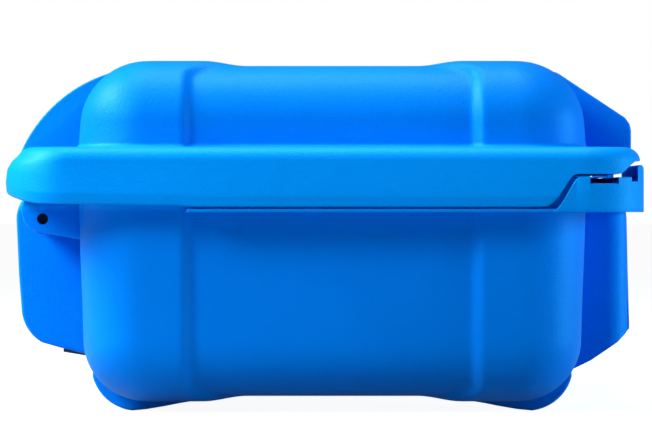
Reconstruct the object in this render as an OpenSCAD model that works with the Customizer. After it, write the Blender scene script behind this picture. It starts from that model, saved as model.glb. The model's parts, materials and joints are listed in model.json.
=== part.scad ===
// Small waterproof carry case with one front latch, closed.
// X runs along the case, the latch faces -Y, the hinge is at +Y and Z is up.
// The origin is on the standing surface, under the middle of the outline.

/* [Case] */
// Overall length of the rim, along X
case_length = 221; // [216:1:226]
// Overall width from latch side to hinge side, along Y
case_width = 172.8; // [172:0.2:174]
// Overall height on its feet
case_height = 95.7; // [95:0.1:97]
// Height of the base's sealing face, where the case opens
parting_height = 63.9; // [63.5:0.1:64.5]
// Wall thickness of both shells
wall = 3; // [2.6:0.1:3.4]

/* [Tub] */
// Half length of the tub over its corner pads
tub_half_length = 102.5; // [101:0.5:103.5]
// Half width of the tub over its corner pads
tub_half_width = 69; // [68.6:0.1:69.4]
// How far the tub sits towards the latch side
tub_shift = 2.2; // [1.8:0.1:2.6]
// How far the centre panels lie behind the corner pads
panel_depth = 2.3; // [1.5:0.1:2.8]
// Half width of the centre panels on the two ends
panel_y = 37.2; // [32:0.2:40]
// Half length of the centre panels on the two long sides
panel_x = 72; // [66:0.5:73]
// Width of the slanted step between panel and pad
step_run = 3.7; // [2.5:0.1:4]
// Plan radius of the tub's upright corners
corner_radius = 18; // [16:0.5:20]
// Radius of the rounding between base walls and bottom
base_round = 17; // [15:0.5:18]
// Radius of the rounding between lid walls and top
lid_round = 17; // [16.5:0.5:20]
// Height of the feet under the corner pads
foot_height = 2.9; // [2.7:0.1:3.6]

/* [Rim] */
// Plan radius of the rim's corners
rim_radius = 17; // [15:0.5:19]
// Thickness of the lid's skirt
skirt_wall = 2.2; // [1.8:0.1:2.4]
// Height of the lid's band above the base's sealing face
band_rise = 8.1; // [7.8:0.1:8.6]
// Depth of the lid's skirt below the base's sealing face
skirt_drop = 8.1; // [7.8:0.1:8.4]
// Gap between base and lid at the rim
seal_gap = 0.8; // [0.6:0.1:1]
// Width of the gasket
gasket_width = 4; // [3:0.1:4.2]

/* [Hinge] */
// Distance of the hinge axis in from the rear of the rim
hinge_inset = 9.4; // [9.2:0.1:9.6]
// Depth of the hinge axis below the base's sealing face
hinge_drop = 11.3; // [11.2:0.1:11.6]
// Radius of the hinge pins
hinge_pin_radius = 1.5; // [1.3:0.05:1.6]

/* [Latch] */
// Half width of the bay between the latch guards
bay_half = 34; // [33.8:0.1:35]
// Thickness of each latch guard on the base
guard_wall = 12; // [11:0.5:13]
// Angle by which the lever stands open of closed, as drawn
lever_open = 14; // [13.5:0.1:14.5]
// Distance from the lever's pivot down to the claw's pivot
throw = 11; // [10.5:0.1:11.2]
// Radius of the lever's pivot pins
pivot_radius = 1.6; // [1.4:0.05:1.7]
// Radius of the claw's pin
claw_pin_radius = 1.2; // [1:0.05:1.3]
// Half width of the claw
claw_half = 19; // [17:0.5:19]

/* [Padlock holes] */
// Distance of the padlock holes from the middle of the case
padlock_x = 84; // [70:1:86]
// Radius of the padlock holes
padlock_radius = 3.5; // [3:0.1:3.8]

/* [Foam] */
// Half length of the pocket in the base foam
pocket_x = 62; // [40:1:70]
// Half width of the pocket in the base foam
pocket_y = 40; // [25:1:44]

/* [Hidden] */

$fn = 48;
blue = [0.05, 0.5, 0.88];
deep_blue = [0.03, 0.38, 0.75];
steel = [0.72, 0.73, 0.75];
dark = [0.16, 0.16, 0.17];

flange_drop = 9.4;                          // depth of the base's flange
base_panel_rise = 1.5;                      // how far the bottom's panels lie above its pads
lid_panel_drop = 1.4;                       // how far the top's panels lie below its pads
half_l = case_length / 2;
half_w = case_width / 2;
seal_z = parting_height;                    // base's sealing face
lid_z = seal_z + seal_gap;                  // lid's sealing face
band_z = seal_z + band_rise;                // top of the lid's band
skirt_z = seal_z - skirt_drop;              // lower edge of the lid's skirt
flange_z = seal_z - flange_drop;            // underside of the base's flange
body_y = -tub_shift;                        // middle of the tub
front = -half_w;
rear = half_w;
inner_x = tub_half_length - panel_depth - wall;
side_land = 1.3;                            // extra thickness of the long walls, which carry the seal
inner_y = tub_half_width - panel_depth - wall - side_land;
inner_round = base_round - 1;               // rounding inside both shells
inner_radius = corner_radius - wall;
floor_z = foot_height + base_panel_rise + wall;
roof_z = case_height - 2 - wall;            // inside roof of the lid
base_draft = 1.2;                           // how far the base's walls lean in
lid_draft = 0.06;                           // lean of the lid's walls per millimetre
skirt_x = half_l - skirt_wall;              // inside of the skirt
seal_x = 101.5;                             // sealing line, half length
seal_y = [-67.8, 66.2];                     // sealing line, front and rear
seal_radius = 14;
lid_guard_wall = guard_wall - 2;

hinge_y = half_w - hinge_inset;
hinge_z = seal_z - hinge_drop;
knuckle = [58.4, 71.6];                     // lid knuckle, along X
inner_lug = [50, 58];                       // base lug next to the barrel
outer_lug = [72, 80];                       // base lug towards the end
barrel_half = 49;                           // half length of the rear barrel block
barrel_radius = 9.3;

pivot = [front + 7.9, seal_z - 3.7];        // lever pivot in Y and Z
claw_pivot = pivot + [0.9, -throw];         // claw pivot in Y and Z, latch closed
cheek = [claw_half + 0.5, claw_half + 5.5]; // lever cheek, along X
lever_half = bay_half - 1.5;
seat_y = body_y - 67.9;                     // outer face of the valve's boss
valve_x = 60;
valve_z = 34;
foam_gap = 0.4;

quarter_size = 11;                          // points on a quarter of a plan ring
ring_size = 4 * quarter_size;

// ---------- rings and lofted shells ----------

// One quarter of a plan ring, from the end wall's panel round the corner to the side wall's panel
function quarter(hx, hy, r, z, step, drop) = concat(
    [[hx - step, panel_y, z + drop], [hx, panel_y + step_run, z]],
    [for (a = [0 : 15 : 90]) [hx - r + r * cos(a), hy - r + r * sin(a), z]],
    [[panel_x + step_run, hy, z], [panel_x, hy - step, z + drop]]);

function backwards(list) = [for (i = [len(list) - 1 : -1 : 0]) list[i]];

function turned(list, sx, sy, yc) = [for (p = list) [sx * p.x, yc + sy * p.y, p.z]];

// A closed plan ring of ring_size points at height z, counter-clockwise from +X
function ring(hx, hy, r, z, yc = body_y, step = 0, drop = 0) =
    let (q = quarter(hx, hy, r, z, step, drop))
    concat(turned(q, 1, 1, yc), backwards(turned(q, -1, 1, yc)),
           turned(q, -1, -1, yc), backwards(turned(q, 1, -1, yc)));

// The eight points where the panels' edges cross on a ring's cap
function cap_points(z, yc, drop) = concat(
    [for (s = [[1, 1], [-1, 1], [-1, -1], [1, -1]])
        [s.x * (panel_x + step_run), yc + s.y * (panel_y + step_run), z]],
    [for (s = [[1, 1], [-1, 1], [-1, -1], [1, -1]]) [s.x * panel_x, yc + s.y * panel_y, z + drop]]);

// Index on a ring of point i of quarter q
function on_ring(q, i) = q % 2 == 0 ? q * quarter_size + i : (q + 1) * quarter_size - 1 - i;

// Faces that close a ring which starts at index b, with its cap points at index c
function cap_faces(b, c) = concat(
    [for (q = [0 : 3])
        let (f = concat([for (i = [1 : 9]) b + on_ring(q, i)], [c + q])) q % 2 == 0 ? f : backwards(f)],
    [for (q = [0 : 3])
        let (f = [b + on_ring(q, 0), b + on_ring(q, 1), c + q, c + 4 + q]) q % 2 == 0 ? f : backwards(f)],
    [for (q = [0 : 3])
        let (f = [b + on_ring(q, 9), b + on_ring(q, 10), c + 4 + q, c + q]) q % 2 == 0 ? f : backwards(f)],
    [[for (q = [0 : 3]) c + 4 + q]],
    [for (q = [0 : 3])
        let (n = (q + 1) % 4, i = q % 2 == 0 ? 10 : 0)
        [b + on_ring(q, i), b + on_ring(n, i), c + 4 + n, c + 4 + q]]);

// Solid through a list of rings, closed by a cap on the first and on the last
module loft(rings, yc = body_y, first_drop = 0, last_drop = 0, upward = true) {
    last = len(rings) - 1;
    count = len(rings) * ring_size;
    points = concat([for (r = rings) each r],
                    cap_points(rings[0][1].z, yc, first_drop),
                    cap_points(rings[last][1].z, yc, last_drop));
    sides = [for (k = [0 : last - 1]) for (i = [0 : ring_size - 1])
        let (j = (i + 1) % ring_size, a = k * ring_size, b = a + ring_size)
        each [[a + i, a + j, b + j], [a + i, b + j, b + i]]];
    faces = concat([for (f = cap_faces(0, count)) backwards(f)], sides,
                   cap_faces(last * ring_size, count + 8));
    polyhedron(points, upward ? [for (f = faces) backwards(f)] : faces);
}

// Plan radius that shrinks as a ring moves in over a rounding
function plan_radius(r, inset) = max(r - 0.8 * inset, 2.5);

// Ring of the cavity inside both shells, pulled in by inset
function cavity_ring(inset, z) =
    ring(inner_x - inset, inner_y - inset, plan_radius(inner_radius, inset), z);

// Ring of the outside of the tub with its pads, pulled in by inset
function pad_ring(inset, z, drop = 0) =
    ring(tub_half_length - inset, tub_half_width - inset, plan_radius(corner_radius, inset), z,
         step = panel_depth, drop = drop);

// Ring of the rim's outline, pulled in by inset
function rim_ring(inset, z) = ring(half_l - inset, half_w - inset, rim_radius - inset, z, yc = 0);

// ---------- plan outlines and profiles ----------

function arc(x, y, r, from, to, n = 6) =
    [for (i = [0 : n]) let (a = from + (to - from) * i / n) [x + r * cos(a), y + r * sin(a)]];

// Rounded rectangle from y0 to y1, symmetric in X
function outline(hx, y0, y1, r) = concat(
    arc(hx - r, y1 - r, r, 0, 90), arc(r - hx, y1 - r, r, 90, 180),
    arc(r - hx, y0 + r, r, 180, 270), arc(hx - r, y0 + r, r, 270, 360));

module plate(points, z0, z1) {
    translate([0, 0, z0]) linear_extrude(z1 - z0) polygon(points);
}

// Profile in Y and Z carried along X from x0 to x1
module along_x(x0, x1) {
    translate([x0, 0, 0]) rotate([90, 0, 90]) linear_extrude(x1 - x0) children();
}

module rod(x0, x1, at, r) {
    translate([x0, at.x, at.y]) rotate([0, 90, 0]) cylinder(h = x1 - x0, r = r);
}

// Outline that lies outside the sealing line by offset
function seal_outline(offset) =
    outline(seal_x + offset, seal_y[0] - offset, seal_y[1] + offset, seal_radius + offset);

// Band round the sealing line, half_wide to each side of it
module seal_band(half_wide, z0, z1) {
    difference() {
        plate(seal_outline(half_wide), z0, z1);
        plate(seal_outline(-half_wide), z0 - 1, z1 + 1);
    }
}

// Disc or tube that points out of the front wall, from y0 to y1
module valve_disc(y0, y1, r, bore = 0) {
    translate([valve_x, y1, valve_z]) rotate([90, 0, 0]) difference() {
        cylinder(h = y1 - y0, r = r);
        if (bore > 0) translate([0, 0, -1]) cylinder(h = y1 - y0 + 2, r = bore);
    }
}

module both_ends() {
    children();
    mirror([1, 0, 0]) children();
}

// The same path as the lower edge of the lid where it steps up to the front block
parting_curve = [[-57.2, -8.6], [-60.6, -7.2], [-62.5, -5.6], [-64.1, -3.5], [-65.7, -0.3], [-67.3, 0.8]];
function parting(dy, dz) = [for (p = parting_curve) [p.x + dy, seal_z + p.y + dz]];

// ---------- base ----------

module tub() {
    arcs = [for (a = [15 : 15 : 90])
        pad_ring(base_draft + base_round * (1 - cos(a)), foot_height + base_round * (1 - sin(a)),
                 base_panel_rise * sin(a))];
    loft(concat(
        [for (a = [90 : -15 : 0])
            cavity_ring(inner_round * (1 - cos(a)), floor_z + inner_round * (1 - sin(a)))],
        [cavity_ring(0, seal_z)],
        [for (z = [seal_z, flange_z]) ring(skirt_x - 0.6, 79.25, rim_radius - 3, z, yc = -0.75)],
        [pad_ring(0, flange_z), pad_ring(base_draft, foot_height + base_round)],
        arcs), last_drop = base_panel_rise, upward = false);
}

// Full-depth front part of the rim with its channel, drip groove and lip
module front_block() {
    intersection() {
        difference() {
            plate(outline(half_l, front, rear, rim_radius), flange_z, seal_z + 4);
            plate(outline(inner_x + 1, body_y - inner_y - 1, body_y + inner_y, inner_radius),
                  flange_z - 1, seal_z + 5);
        }
        along_x(-half_l, half_l) polygon(concat(
            [[-61.2, flange_z]], [for (i = [1 : 4]) parting(-0.8, -0.4)[i]],
            [[-68, seal_z], [front + 3.9, seal_z], [front + 3.9, seal_z - 1.1], [front + 2.1, seal_z - 1.1],
             [front + 2.1, seal_z + 2.7], [front + 1.5, seal_z + 3.3], [front + 0.8, seal_z + 3.3],
             [front, seal_z + 2.3], [front, flange_z]]));
    }
}

module base_guards() {
    both_ends() along_x(bay_half, bay_half + guard_wall) polygon([
        [body_y - 63.8, seal_z - 2], [body_y - 63.8, 20], [body_y - 61.3, 14], [body_y - 57.8, 10],
        [body_y - 59.8, 7.9], [front + 15.9, 10.6], [front + 11.4, 12.8], [front + 6.4, 16.2],
        [front + 3.9, 17.9], [front + 0.8, 21.2], [front + 1.5, flange_z], [front + 1.5, seal_z - 2]]);
}

module hinge_lug(span) {
    difference() {
        along_x(span[0], span[1]) union() {
            translate([hinge_y, hinge_z]) circle(r = 5.3);
            polygon([[61.5, hinge_z - 6.2], [hinge_y + 2.6, hinge_z - 3], [hinge_y + 5.2, hinge_z - 0.4],
                     [hinge_y + 6, hinge_z + 3.4], [hinge_y + 3, hinge_z + 5.6], [61.5, hinge_z + 5.6]]);
        }
        rod(span[0] - 1, span[1] + 1, [hinge_y, hinge_z], hinge_pin_radius + 0.02);
    }
}

// Block behind the rear wall that the case can stand on, rounded over the hinge axis
module barrel_block() {
    difference() {
        along_x(-barrel_half, barrel_half) union() {
            translate([hinge_y, hinge_z]) circle(r = barrel_radius);
            polygon([[61.5, seal_z - 3], [61.5, 20], [59.4, 14.8], [62.5, 13.9], [67.6, 15.2], [74, 16.7],
                     [79, 18.2], [82.4, 21], [84.3, 25.5], [85.4, 36.9], [hinge_y + 9.25, hinge_z],
                     [hinge_y, seal_z - 3]]);
        }
        both_ends() rear_pad_shape(0.05);
    }
}

module rear_pad_shape(gap) {
    along_x(36 - gap, 47 + gap) polygon([
        [66.6 - gap, 18 + gap], [73.2 + gap, 18 + gap],
        [73.2 + gap, 15.2 - 2 * gap], [66.6 - gap, 14.1 - 2 * gap]]);
}

module feet() {
    for (sy = [-1, 1]) both_ends() along_x(40, 76) polygon([for (p = [
        [60.5, 11.8], [66, 12], [64.2, 8], [60.8, 3.8], [57, 1], [54.3, 0], [50.5, 0], [43, 1.4], [36, 2.6],
        [33.5, 6.2], [50, 6.6]]) [body_y + sy * p.x, p.y]]);
}

module base_shell() color(blue) {
    difference() {
        union() {
            tub();
            front_block();
            // Thin lip that the lid's skirt closes down to
            intersection() {
                difference() {
                    plate(outline(half_l - 0.2, front + 0.2, rear - 0.2, rim_radius),
                          flange_z, flange_z + 0.9);
                    plate(outline(tub_half_length - 1.4, body_y - 64, body_y + 64, 16),
                          flange_z - 1, flange_z + 2);
                }
                translate([-half_l, -62, 0]) cube([case_length, 99, case_height]);
            }
            base_guards();
            both_ends() hinge_lug(inner_lug);
            both_ends() hinge_lug(outer_lug);
            barrel_block();
            feet();
            valve_disc(seat_y, body_y - 63.8, 9.5);
            // Bead that the gasket closes on
            seal_band(0.5, seal_z - 0.5, seal_z + 0.3);
        }
        // Latch bay
        translate([-bay_half, front - 1, flange_z - 1]) cube([2 * bay_half, 16.4, 20]);
        // Channel in the front block, outside the guards
        both_ends() translate([48, front + 7.6, seal_z - 1.7]) cube([half_l, 8.1, 10]);
        // Room for the lid's knuckles
        both_ends() translate([inner_lug[1], hinge_y - 5, flange_z - 1])
            cube([outer_lug[0] - inner_lug[1], 20, 20]);
        both_ends() translate([padlock_x, front + 11.6, flange_z - 1]) cylinder(h = 12, r = padlock_radius);
        both_ends() rod(bay_half - 1, bay_half + 6.2, pivot, pivot_radius + 0.02);
        valve_disc(seat_y - 1, body_y - 60, 5.1);
    }
}

// ---------- lid ----------

module lid_body() {
    loft(concat(
        [for (a = [90 : -15 : 0])
            cavity_ring(inner_round * (1 - cos(a)), roof_z - inner_round * (1 - sin(a)))],
        [cavity_ring(0, lid_z)],
        [for (z = [lid_z, skirt_z]) rim_ring(skirt_wall, z)],
        [rim_ring(0, skirt_z)],
        [for (a = [0 : 22.5 : 90]) rim_ring(2.8 * (1 - cos(a)), band_z - 2.8 * (1 - sin(a)))],
        [pad_ring(0, band_z)],
        [for (a = [0 : 15 : 90])
            let (z = case_height - lid_round * (1 - sin(a)))
            pad_ring(lid_draft * (z - band_z) + lid_round * (1 - cos(a)), z, -lid_panel_drop * sin(a))]),
        last_drop = -lid_panel_drop);
}

module lid_guards() {
    both_ends() along_x(bay_half, bay_half + lid_guard_wall) polygon([
        [body_y - 63.2, band_z - 3], [body_y - 63, 80], [body_y - 60.1, 86], [body_y - 55.8, 91],
        [body_y - 60, 93], [front + 21.2, 93.4], [front + 1.8, 80.45], [front + 0.2, 77.4],
        [front, band_z], [front, band_z - 2], [front + 1, band_z - 3]]);
}

module rear_fins() {
    both_ends() along_x(inner_lug[0], inner_lug[1]) polygon([
        [body_y + 63.4, band_z - 3], [body_y + 63.2, 80], [body_y + 60.2, 86], [body_y + 56.2, 90.8],
        [body_y + 58.7, 93.4], [61, 92.4], [68.7, 88.3], [75.4, 83.3], [80.1, 78.3], [82.6, 75], [84, 71],
        [84, band_z - 3]]);
}

module knuckle_shape() {
    difference() {
        along_x(knuckle[0], knuckle[1]) union() {
            translate([hinge_y, hinge_z]) circle(r = 4.4);
            polygon([[hinge_y - 3, hinge_z], [hinge_y + 3.4, hinge_z + 1], [hinge_y + 3.4, lid_z + 1],
                     [hinge_y - 3, lid_z + 1]]);
        }
        rod(knuckle[0] - 1, knuckle[1] + 1, [hinge_y, hinge_z], hinge_pin_radius + 0.05);
    }
}

// Bar that the claw hooks over
module catch_bar() {
    along_x(-claw_half - 0.6, claw_half + 0.6) polygon([
        [front + 20.4, band_z - 1], [front + 20.4, band_z + 4], [front + 16.4, band_z + 5],
        [front + 11.5, band_z + 5], [front + 10.9, band_z + 4.4], [front + 10.9, band_z + 1.4],
        [front + 15.4, band_z - 2]]);
}

module lid_shell() color(blue) {
    difference() {
        union() {
            lid_body();
            lid_guards();
            rear_fins();
            both_ends() knuckle_shape();
        }
        // Front of the rim, where the base's front block takes the skirt's place
        along_x(-half_l - 1, half_l + 1) polygon(concat(
            [[-57.2, 40]], parting(0, 0),
            [[-78, lid_z], [front + 4.9, lid_z + 0.9], [front + 2.4, lid_z + 2.6], [front + 1.2, lid_z + 3.3],
             [front - 2, lid_z + 3.5], [front - 2, 40]]));
        // Skirt's lower edge, which rises towards the hinge
        along_x(-half_l - 1, half_l + 1) polygon([
            [36, skirt_z - 0.1], [38.5, skirt_z + 0.9], [rear - 7, skirt_z + 0.9],
            [rear - 4.2, skirt_z + 1.5], [rear - 2, skirt_z + 2.6], [rear, skirt_z + 4.1],
            [rear + 2, skirt_z + 4.1], [rear + 2, 40], [36, 40]]);
        // Room for the rear barrel block
        translate([-barrel_half - 0.8, 72.5, 40]) cube([2 * barrel_half + 1.6, 20, band_z - 39]);
        // Latch bay
        translate([-bay_half, front - 1, lid_z - 1]) cube([2 * bay_half, 16.4, band_z - lid_z + 2]);
        // Gasket groove
        seal_band(gasket_width / 2 + 0.1, lid_z - 1, lid_z + 3.6);
        both_ends() translate([padlock_x, front + 11.6, lid_z - 1]) cylinder(h = 12, r = padlock_radius);
    }
    catch_bar();
}

module lid_gasket() color(dark) seal_band(gasket_width / 2, lid_z - 0.2, lid_z + 3.5);

// ---------- hinge pins ----------

module hinge_pin() color(steel) {
    rod(inner_lug[0] + 1.5, outer_lug[1] - 4, [hinge_y, hinge_z], hinge_pin_radius);
}

module right_hinge_pin() hinge_pin();

module left_hinge_pin() mirror([1, 0, 0]) hinge_pin();

// ---------- latch ----------

module latch_pivot() color(steel) {
    rod(cheek[0] + 0.2, bay_half + 6, pivot, pivot_radius);
}

module right_latch_pivot() latch_pivot();

module left_latch_pivot() mirror([1, 0, 0]) latch_pivot();

module latch_spring() color(steel) {
    difference() {
        rod(cheek[1] + 0.4, bay_half - 0.4, pivot, 4);
        rod(cheek[1], bay_half, pivot, pivot_radius + 0.9);
    }
}

module right_latch_spring() latch_spring();

module left_latch_spring() mirror([1, 0, 0]) latch_spring();

// Turns what is drawn for the closed latch to the slightly open pose
module as_drawn() {
    translate([0, pivot.x, pivot.y]) rotate([-lever_open, 0, 0])
        translate([0, -pivot.x, -pivot.y]) children();
}

// Outer face of the lever leans back by 2 in 9, latch closed
function lever_face(z) = front + 2.2 + (pivot.y + 1.8 - z) * 2 / 9;

module latch_lever() color(deep_blue) as_drawn() {
    split_z = claw_pivot.y - 4.7;
    foot_z = pivot.y - 34.2;
    difference() {
        union() {
            both_ends() along_x(cheek[0], cheek[1]) union() {
                translate(pivot) circle(r = 4.6);
                translate(claw_pivot) circle(r = 3.2);
                polygon([[pivot.x - 4.6, pivot.y], [lever_face(split_z), split_z],
                         [lever_face(split_z - 6), split_z - 6], [lever_face(split_z - 6) + 5, split_z - 6],
                         [claw_pivot.x + 3.2, claw_pivot.y], [pivot.x + 4.6, pivot.y]]);
            }
            along_x(-lever_half, lever_half) polygon([
                [lever_face(split_z), split_z], [lever_face(foot_z), foot_z],
                [lever_face(foot_z) + 1, foot_z - 0.8], [lever_face(foot_z) + 2.6, foot_z],
                [lever_face(split_z) + 2.6, split_z]]);
        }
        both_ends() rod(cheek[0] - 1, cheek[1] + 1, pivot, pivot_radius + 0.06);
        both_ends() rod(cheek[0] - 1, cheek[1] + 1, claw_pivot, claw_pin_radius + 0.02);
    }
}

module claw_pin() color(steel) as_drawn() {
    rod(-cheek[1] + 0.3, cheek[1] - 0.3, claw_pivot, claw_pin_radius);
}

// How far the claw's pivot moves between closed and the drawn pose
turned_arm = [0.9 * cos(lever_open) - throw * sin(lever_open),
              -0.9 * sin(lever_open) - throw * cos(lever_open)];
claw_shift = pivot + turned_arm - claw_pivot;

module latch_claw() color(deep_blue) translate([0, claw_shift.x, claw_shift.y]) {
    hook_z = band_z + 5.3;
    difference() {
        union() {
            rod(-claw_half, claw_half, claw_pivot, 2.2);
            along_x(-claw_half, claw_half) polygon([
                [front + 7.2, claw_pivot.y], [front + 7.2, hook_z + 1.6], [front + 8.6, hook_z + 3],
                [front + 13.1, hook_z + 2.2], [front + 13.1, hook_z], [front + 10, hook_z],
                [front + 10, claw_pivot.y + 3], [front + 10.8, claw_pivot.y]]);
        }
        rod(-claw_half - 1, claw_half + 1, claw_pivot, claw_pin_radius + 0.05);
    }
}

// ---------- rear pads ----------

module right_rear_pad() color(dark) rear_pad_shape(0);

module left_rear_pad() color(dark) mirror([1, 0, 0]) rear_pad_shape(0);

// ---------- pressure valve ----------

module valve_body() color(dark) {
    difference() {
        union() {
            valve_disc(seat_y - 3.5, seat_y - 1, 8.4);
            valve_disc(seat_y - 1, body_y - 57, 5);
        }
        valve_disc(seat_y - 4, seat_y - 2, 6);
        valve_disc(seat_y - 4, body_y - 50, 2.6);
    }
}

module valve_seal() color([0.1, 0.1, 0.1]) valve_disc(seat_y - 1, seat_y, 7.4, 5.2);

module valve_membrane() color([0.9, 0.9, 0.88]) valve_disc(seat_y - 2.5, seat_y - 2.1, 5.8);

module valve_cap() color(dark) {
    difference() {
        valve_disc(seat_y - 4.4, seat_y - 2.6, 5.9);
        for (a = [0 : 60 : 120])
            translate([valve_x, seat_y - 3.5, valve_z]) rotate([0, a, 0]) cube([7, 3, 1], center = true);
    }
}

module valve_nut() color(dark) {
    difference() {
        translate([valve_x, body_y - inner_y + 4, valve_z]) rotate([90, 0, 0])
            cylinder(h = 4, r = 8.4, $fn = 6);
        valve_disc(seat_y, body_y - 50, 5.05);
    }
}

// ---------- foam ----------

module base_pad() color(dark) {
    loft(concat(
        [for (a = [90 : -15 : 30])
            cavity_ring(foam_gap + inner_round * (1 - cos(a)), floor_z + 0.3 + inner_round * (1 - sin(a)))],
        [cavity_ring(foam_gap + inner_round * (1 - cos(30)), floor_z + 9.8)]));
}

module base_foam() color(dark) {
    difference() {
        plate(outline(inner_x - 1.6, body_y - inner_y + 1.6, body_y + inner_y - 1.6, inner_radius - 1.5),
              floor_z + 10, seal_z + 0.3);
        plate(outline(pocket_x, body_y - pocket_y, body_y + pocket_y, 4), 0, case_height);
        valve_disc(body_y - 70, body_y - 56.4, 9.6);
    }
}

module lid_foam() color(dark) {
    loft(concat(
        [cavity_ring(foam_gap + 0.1, lid_z + 0.1)],
        [for (a = [0 : 15 : 90])
            cavity_ring(foam_gap + 0.1 + inner_round * (1 - cos(a)),
                        roof_z - 0.3 - inner_round * (1 - sin(a)))]));
}

base_shell();
lid_shell();
lid_gasket();
left_hinge_pin();
right_hinge_pin();
left_latch_pivot();
right_latch_pivot();
left_latch_spring();
right_latch_spring();
latch_lever();
latch_claw();
claw_pin();
left_rear_pad();
right_rear_pad();
valve_body();
valve_seal();
valve_membrane();
valve_cap();
valve_nut();
base_foam();
base_pad();
lid_foam();
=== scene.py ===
"""Looks of a small hard carry case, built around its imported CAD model.

The case lies along X with its latch towards -Y and its hinge towards +Y. Shapes are worked out in
millimetres and put into the meshes in metres.
"""

from __future__ import annotations

import json
import logging
import math
from dataclasses import dataclass, field
from enum import Enum
from typing import Callable, Optional

import bmesh
import bpy
import numpy as np
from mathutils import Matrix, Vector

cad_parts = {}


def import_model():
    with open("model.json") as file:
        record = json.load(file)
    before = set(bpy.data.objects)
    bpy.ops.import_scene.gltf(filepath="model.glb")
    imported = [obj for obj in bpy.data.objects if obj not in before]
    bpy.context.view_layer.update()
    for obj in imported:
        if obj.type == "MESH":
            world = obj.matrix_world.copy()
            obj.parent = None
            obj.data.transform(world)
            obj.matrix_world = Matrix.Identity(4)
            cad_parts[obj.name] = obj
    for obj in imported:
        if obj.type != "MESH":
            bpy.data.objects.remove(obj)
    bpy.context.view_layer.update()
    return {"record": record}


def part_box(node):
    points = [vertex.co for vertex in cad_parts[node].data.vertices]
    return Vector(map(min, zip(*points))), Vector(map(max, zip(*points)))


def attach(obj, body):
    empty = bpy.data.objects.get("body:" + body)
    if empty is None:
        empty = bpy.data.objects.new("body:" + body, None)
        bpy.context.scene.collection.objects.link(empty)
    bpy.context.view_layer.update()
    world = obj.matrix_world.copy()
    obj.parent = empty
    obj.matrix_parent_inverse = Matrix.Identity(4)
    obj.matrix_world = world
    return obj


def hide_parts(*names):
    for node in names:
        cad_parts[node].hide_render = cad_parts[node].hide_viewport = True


Array = np.ndarray
Values = float | Array
Shape = tuple[Array, list]
MM = 0.001
WORLD_LIGHT = 0.05  # how strongly the white surround and the floor light the case
FLOOR_SEEN = 0.94  # how bright the camera sees the floor's own light
AIM_HEIGHT = 0.05  # metres above the floor that the lamps point at
BAND_PAINTED_LIGHT_COLOUR = (0.0, 0.37, 0.98, 1.0)  # painted light: a lighter blue on the rim band, standing in for the brighter light that the band catches
BAND_PAINTED_LIGHT_SHARE = 0.5
BAND_PAINTED_LIGHT_FADE = 0.001  # metres over which the painted light on the band fades in and out
log = logging.getLogger("carry_case")


# ---------------------------------------------------------------- shader writing


class Channel:
    """A shader socket that adds a Math node each time it is used in an expression."""

    def __init__(self, sheet: "NodeSheet", socket: bpy.types.NodeSocket) -> None:
        """Keeps the node sheet that the expressions are written on, and the socket.

        Args:
            sheet: the node sheet.
            socket: the output socket that this stands for.
        """
        self.sheet = sheet
        self.socket = socket

    def _math(self, operation: str, first: object, second: object) -> "Channel":
        """Adds one Math node.

        Args:
            operation: the Math node's operation.
            first: left operand, a Channel or a number.
            second: right operand, a Channel or a number.

        Returns:
            The result as a Channel.
        """
        node = self.sheet.node("ShaderNodeMath", {"operation": operation}, {0: first, 1: second})
        return Channel(self.sheet, node.outputs[0])

    def __add__(self, other: object) -> "Channel":
        """Sum."""
        return self._math("ADD", self, other)

    __radd__ = __add__

    def __mul__(self, other: object) -> "Channel":
        """Product."""
        return self._math("MULTIPLY", self, other)

    __rmul__ = __mul__

    def __sub__(self, other: object) -> "Channel":
        """Difference."""
        return self._math("SUBTRACT", self, other)

    def __rsub__(self, other: object) -> "Channel":
        """Difference from a number."""
        return self._math("SUBTRACT", other, self)

    def __pow__(self, other: object) -> "Channel":
        """Power."""
        return self._math("POWER", self, other)


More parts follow.
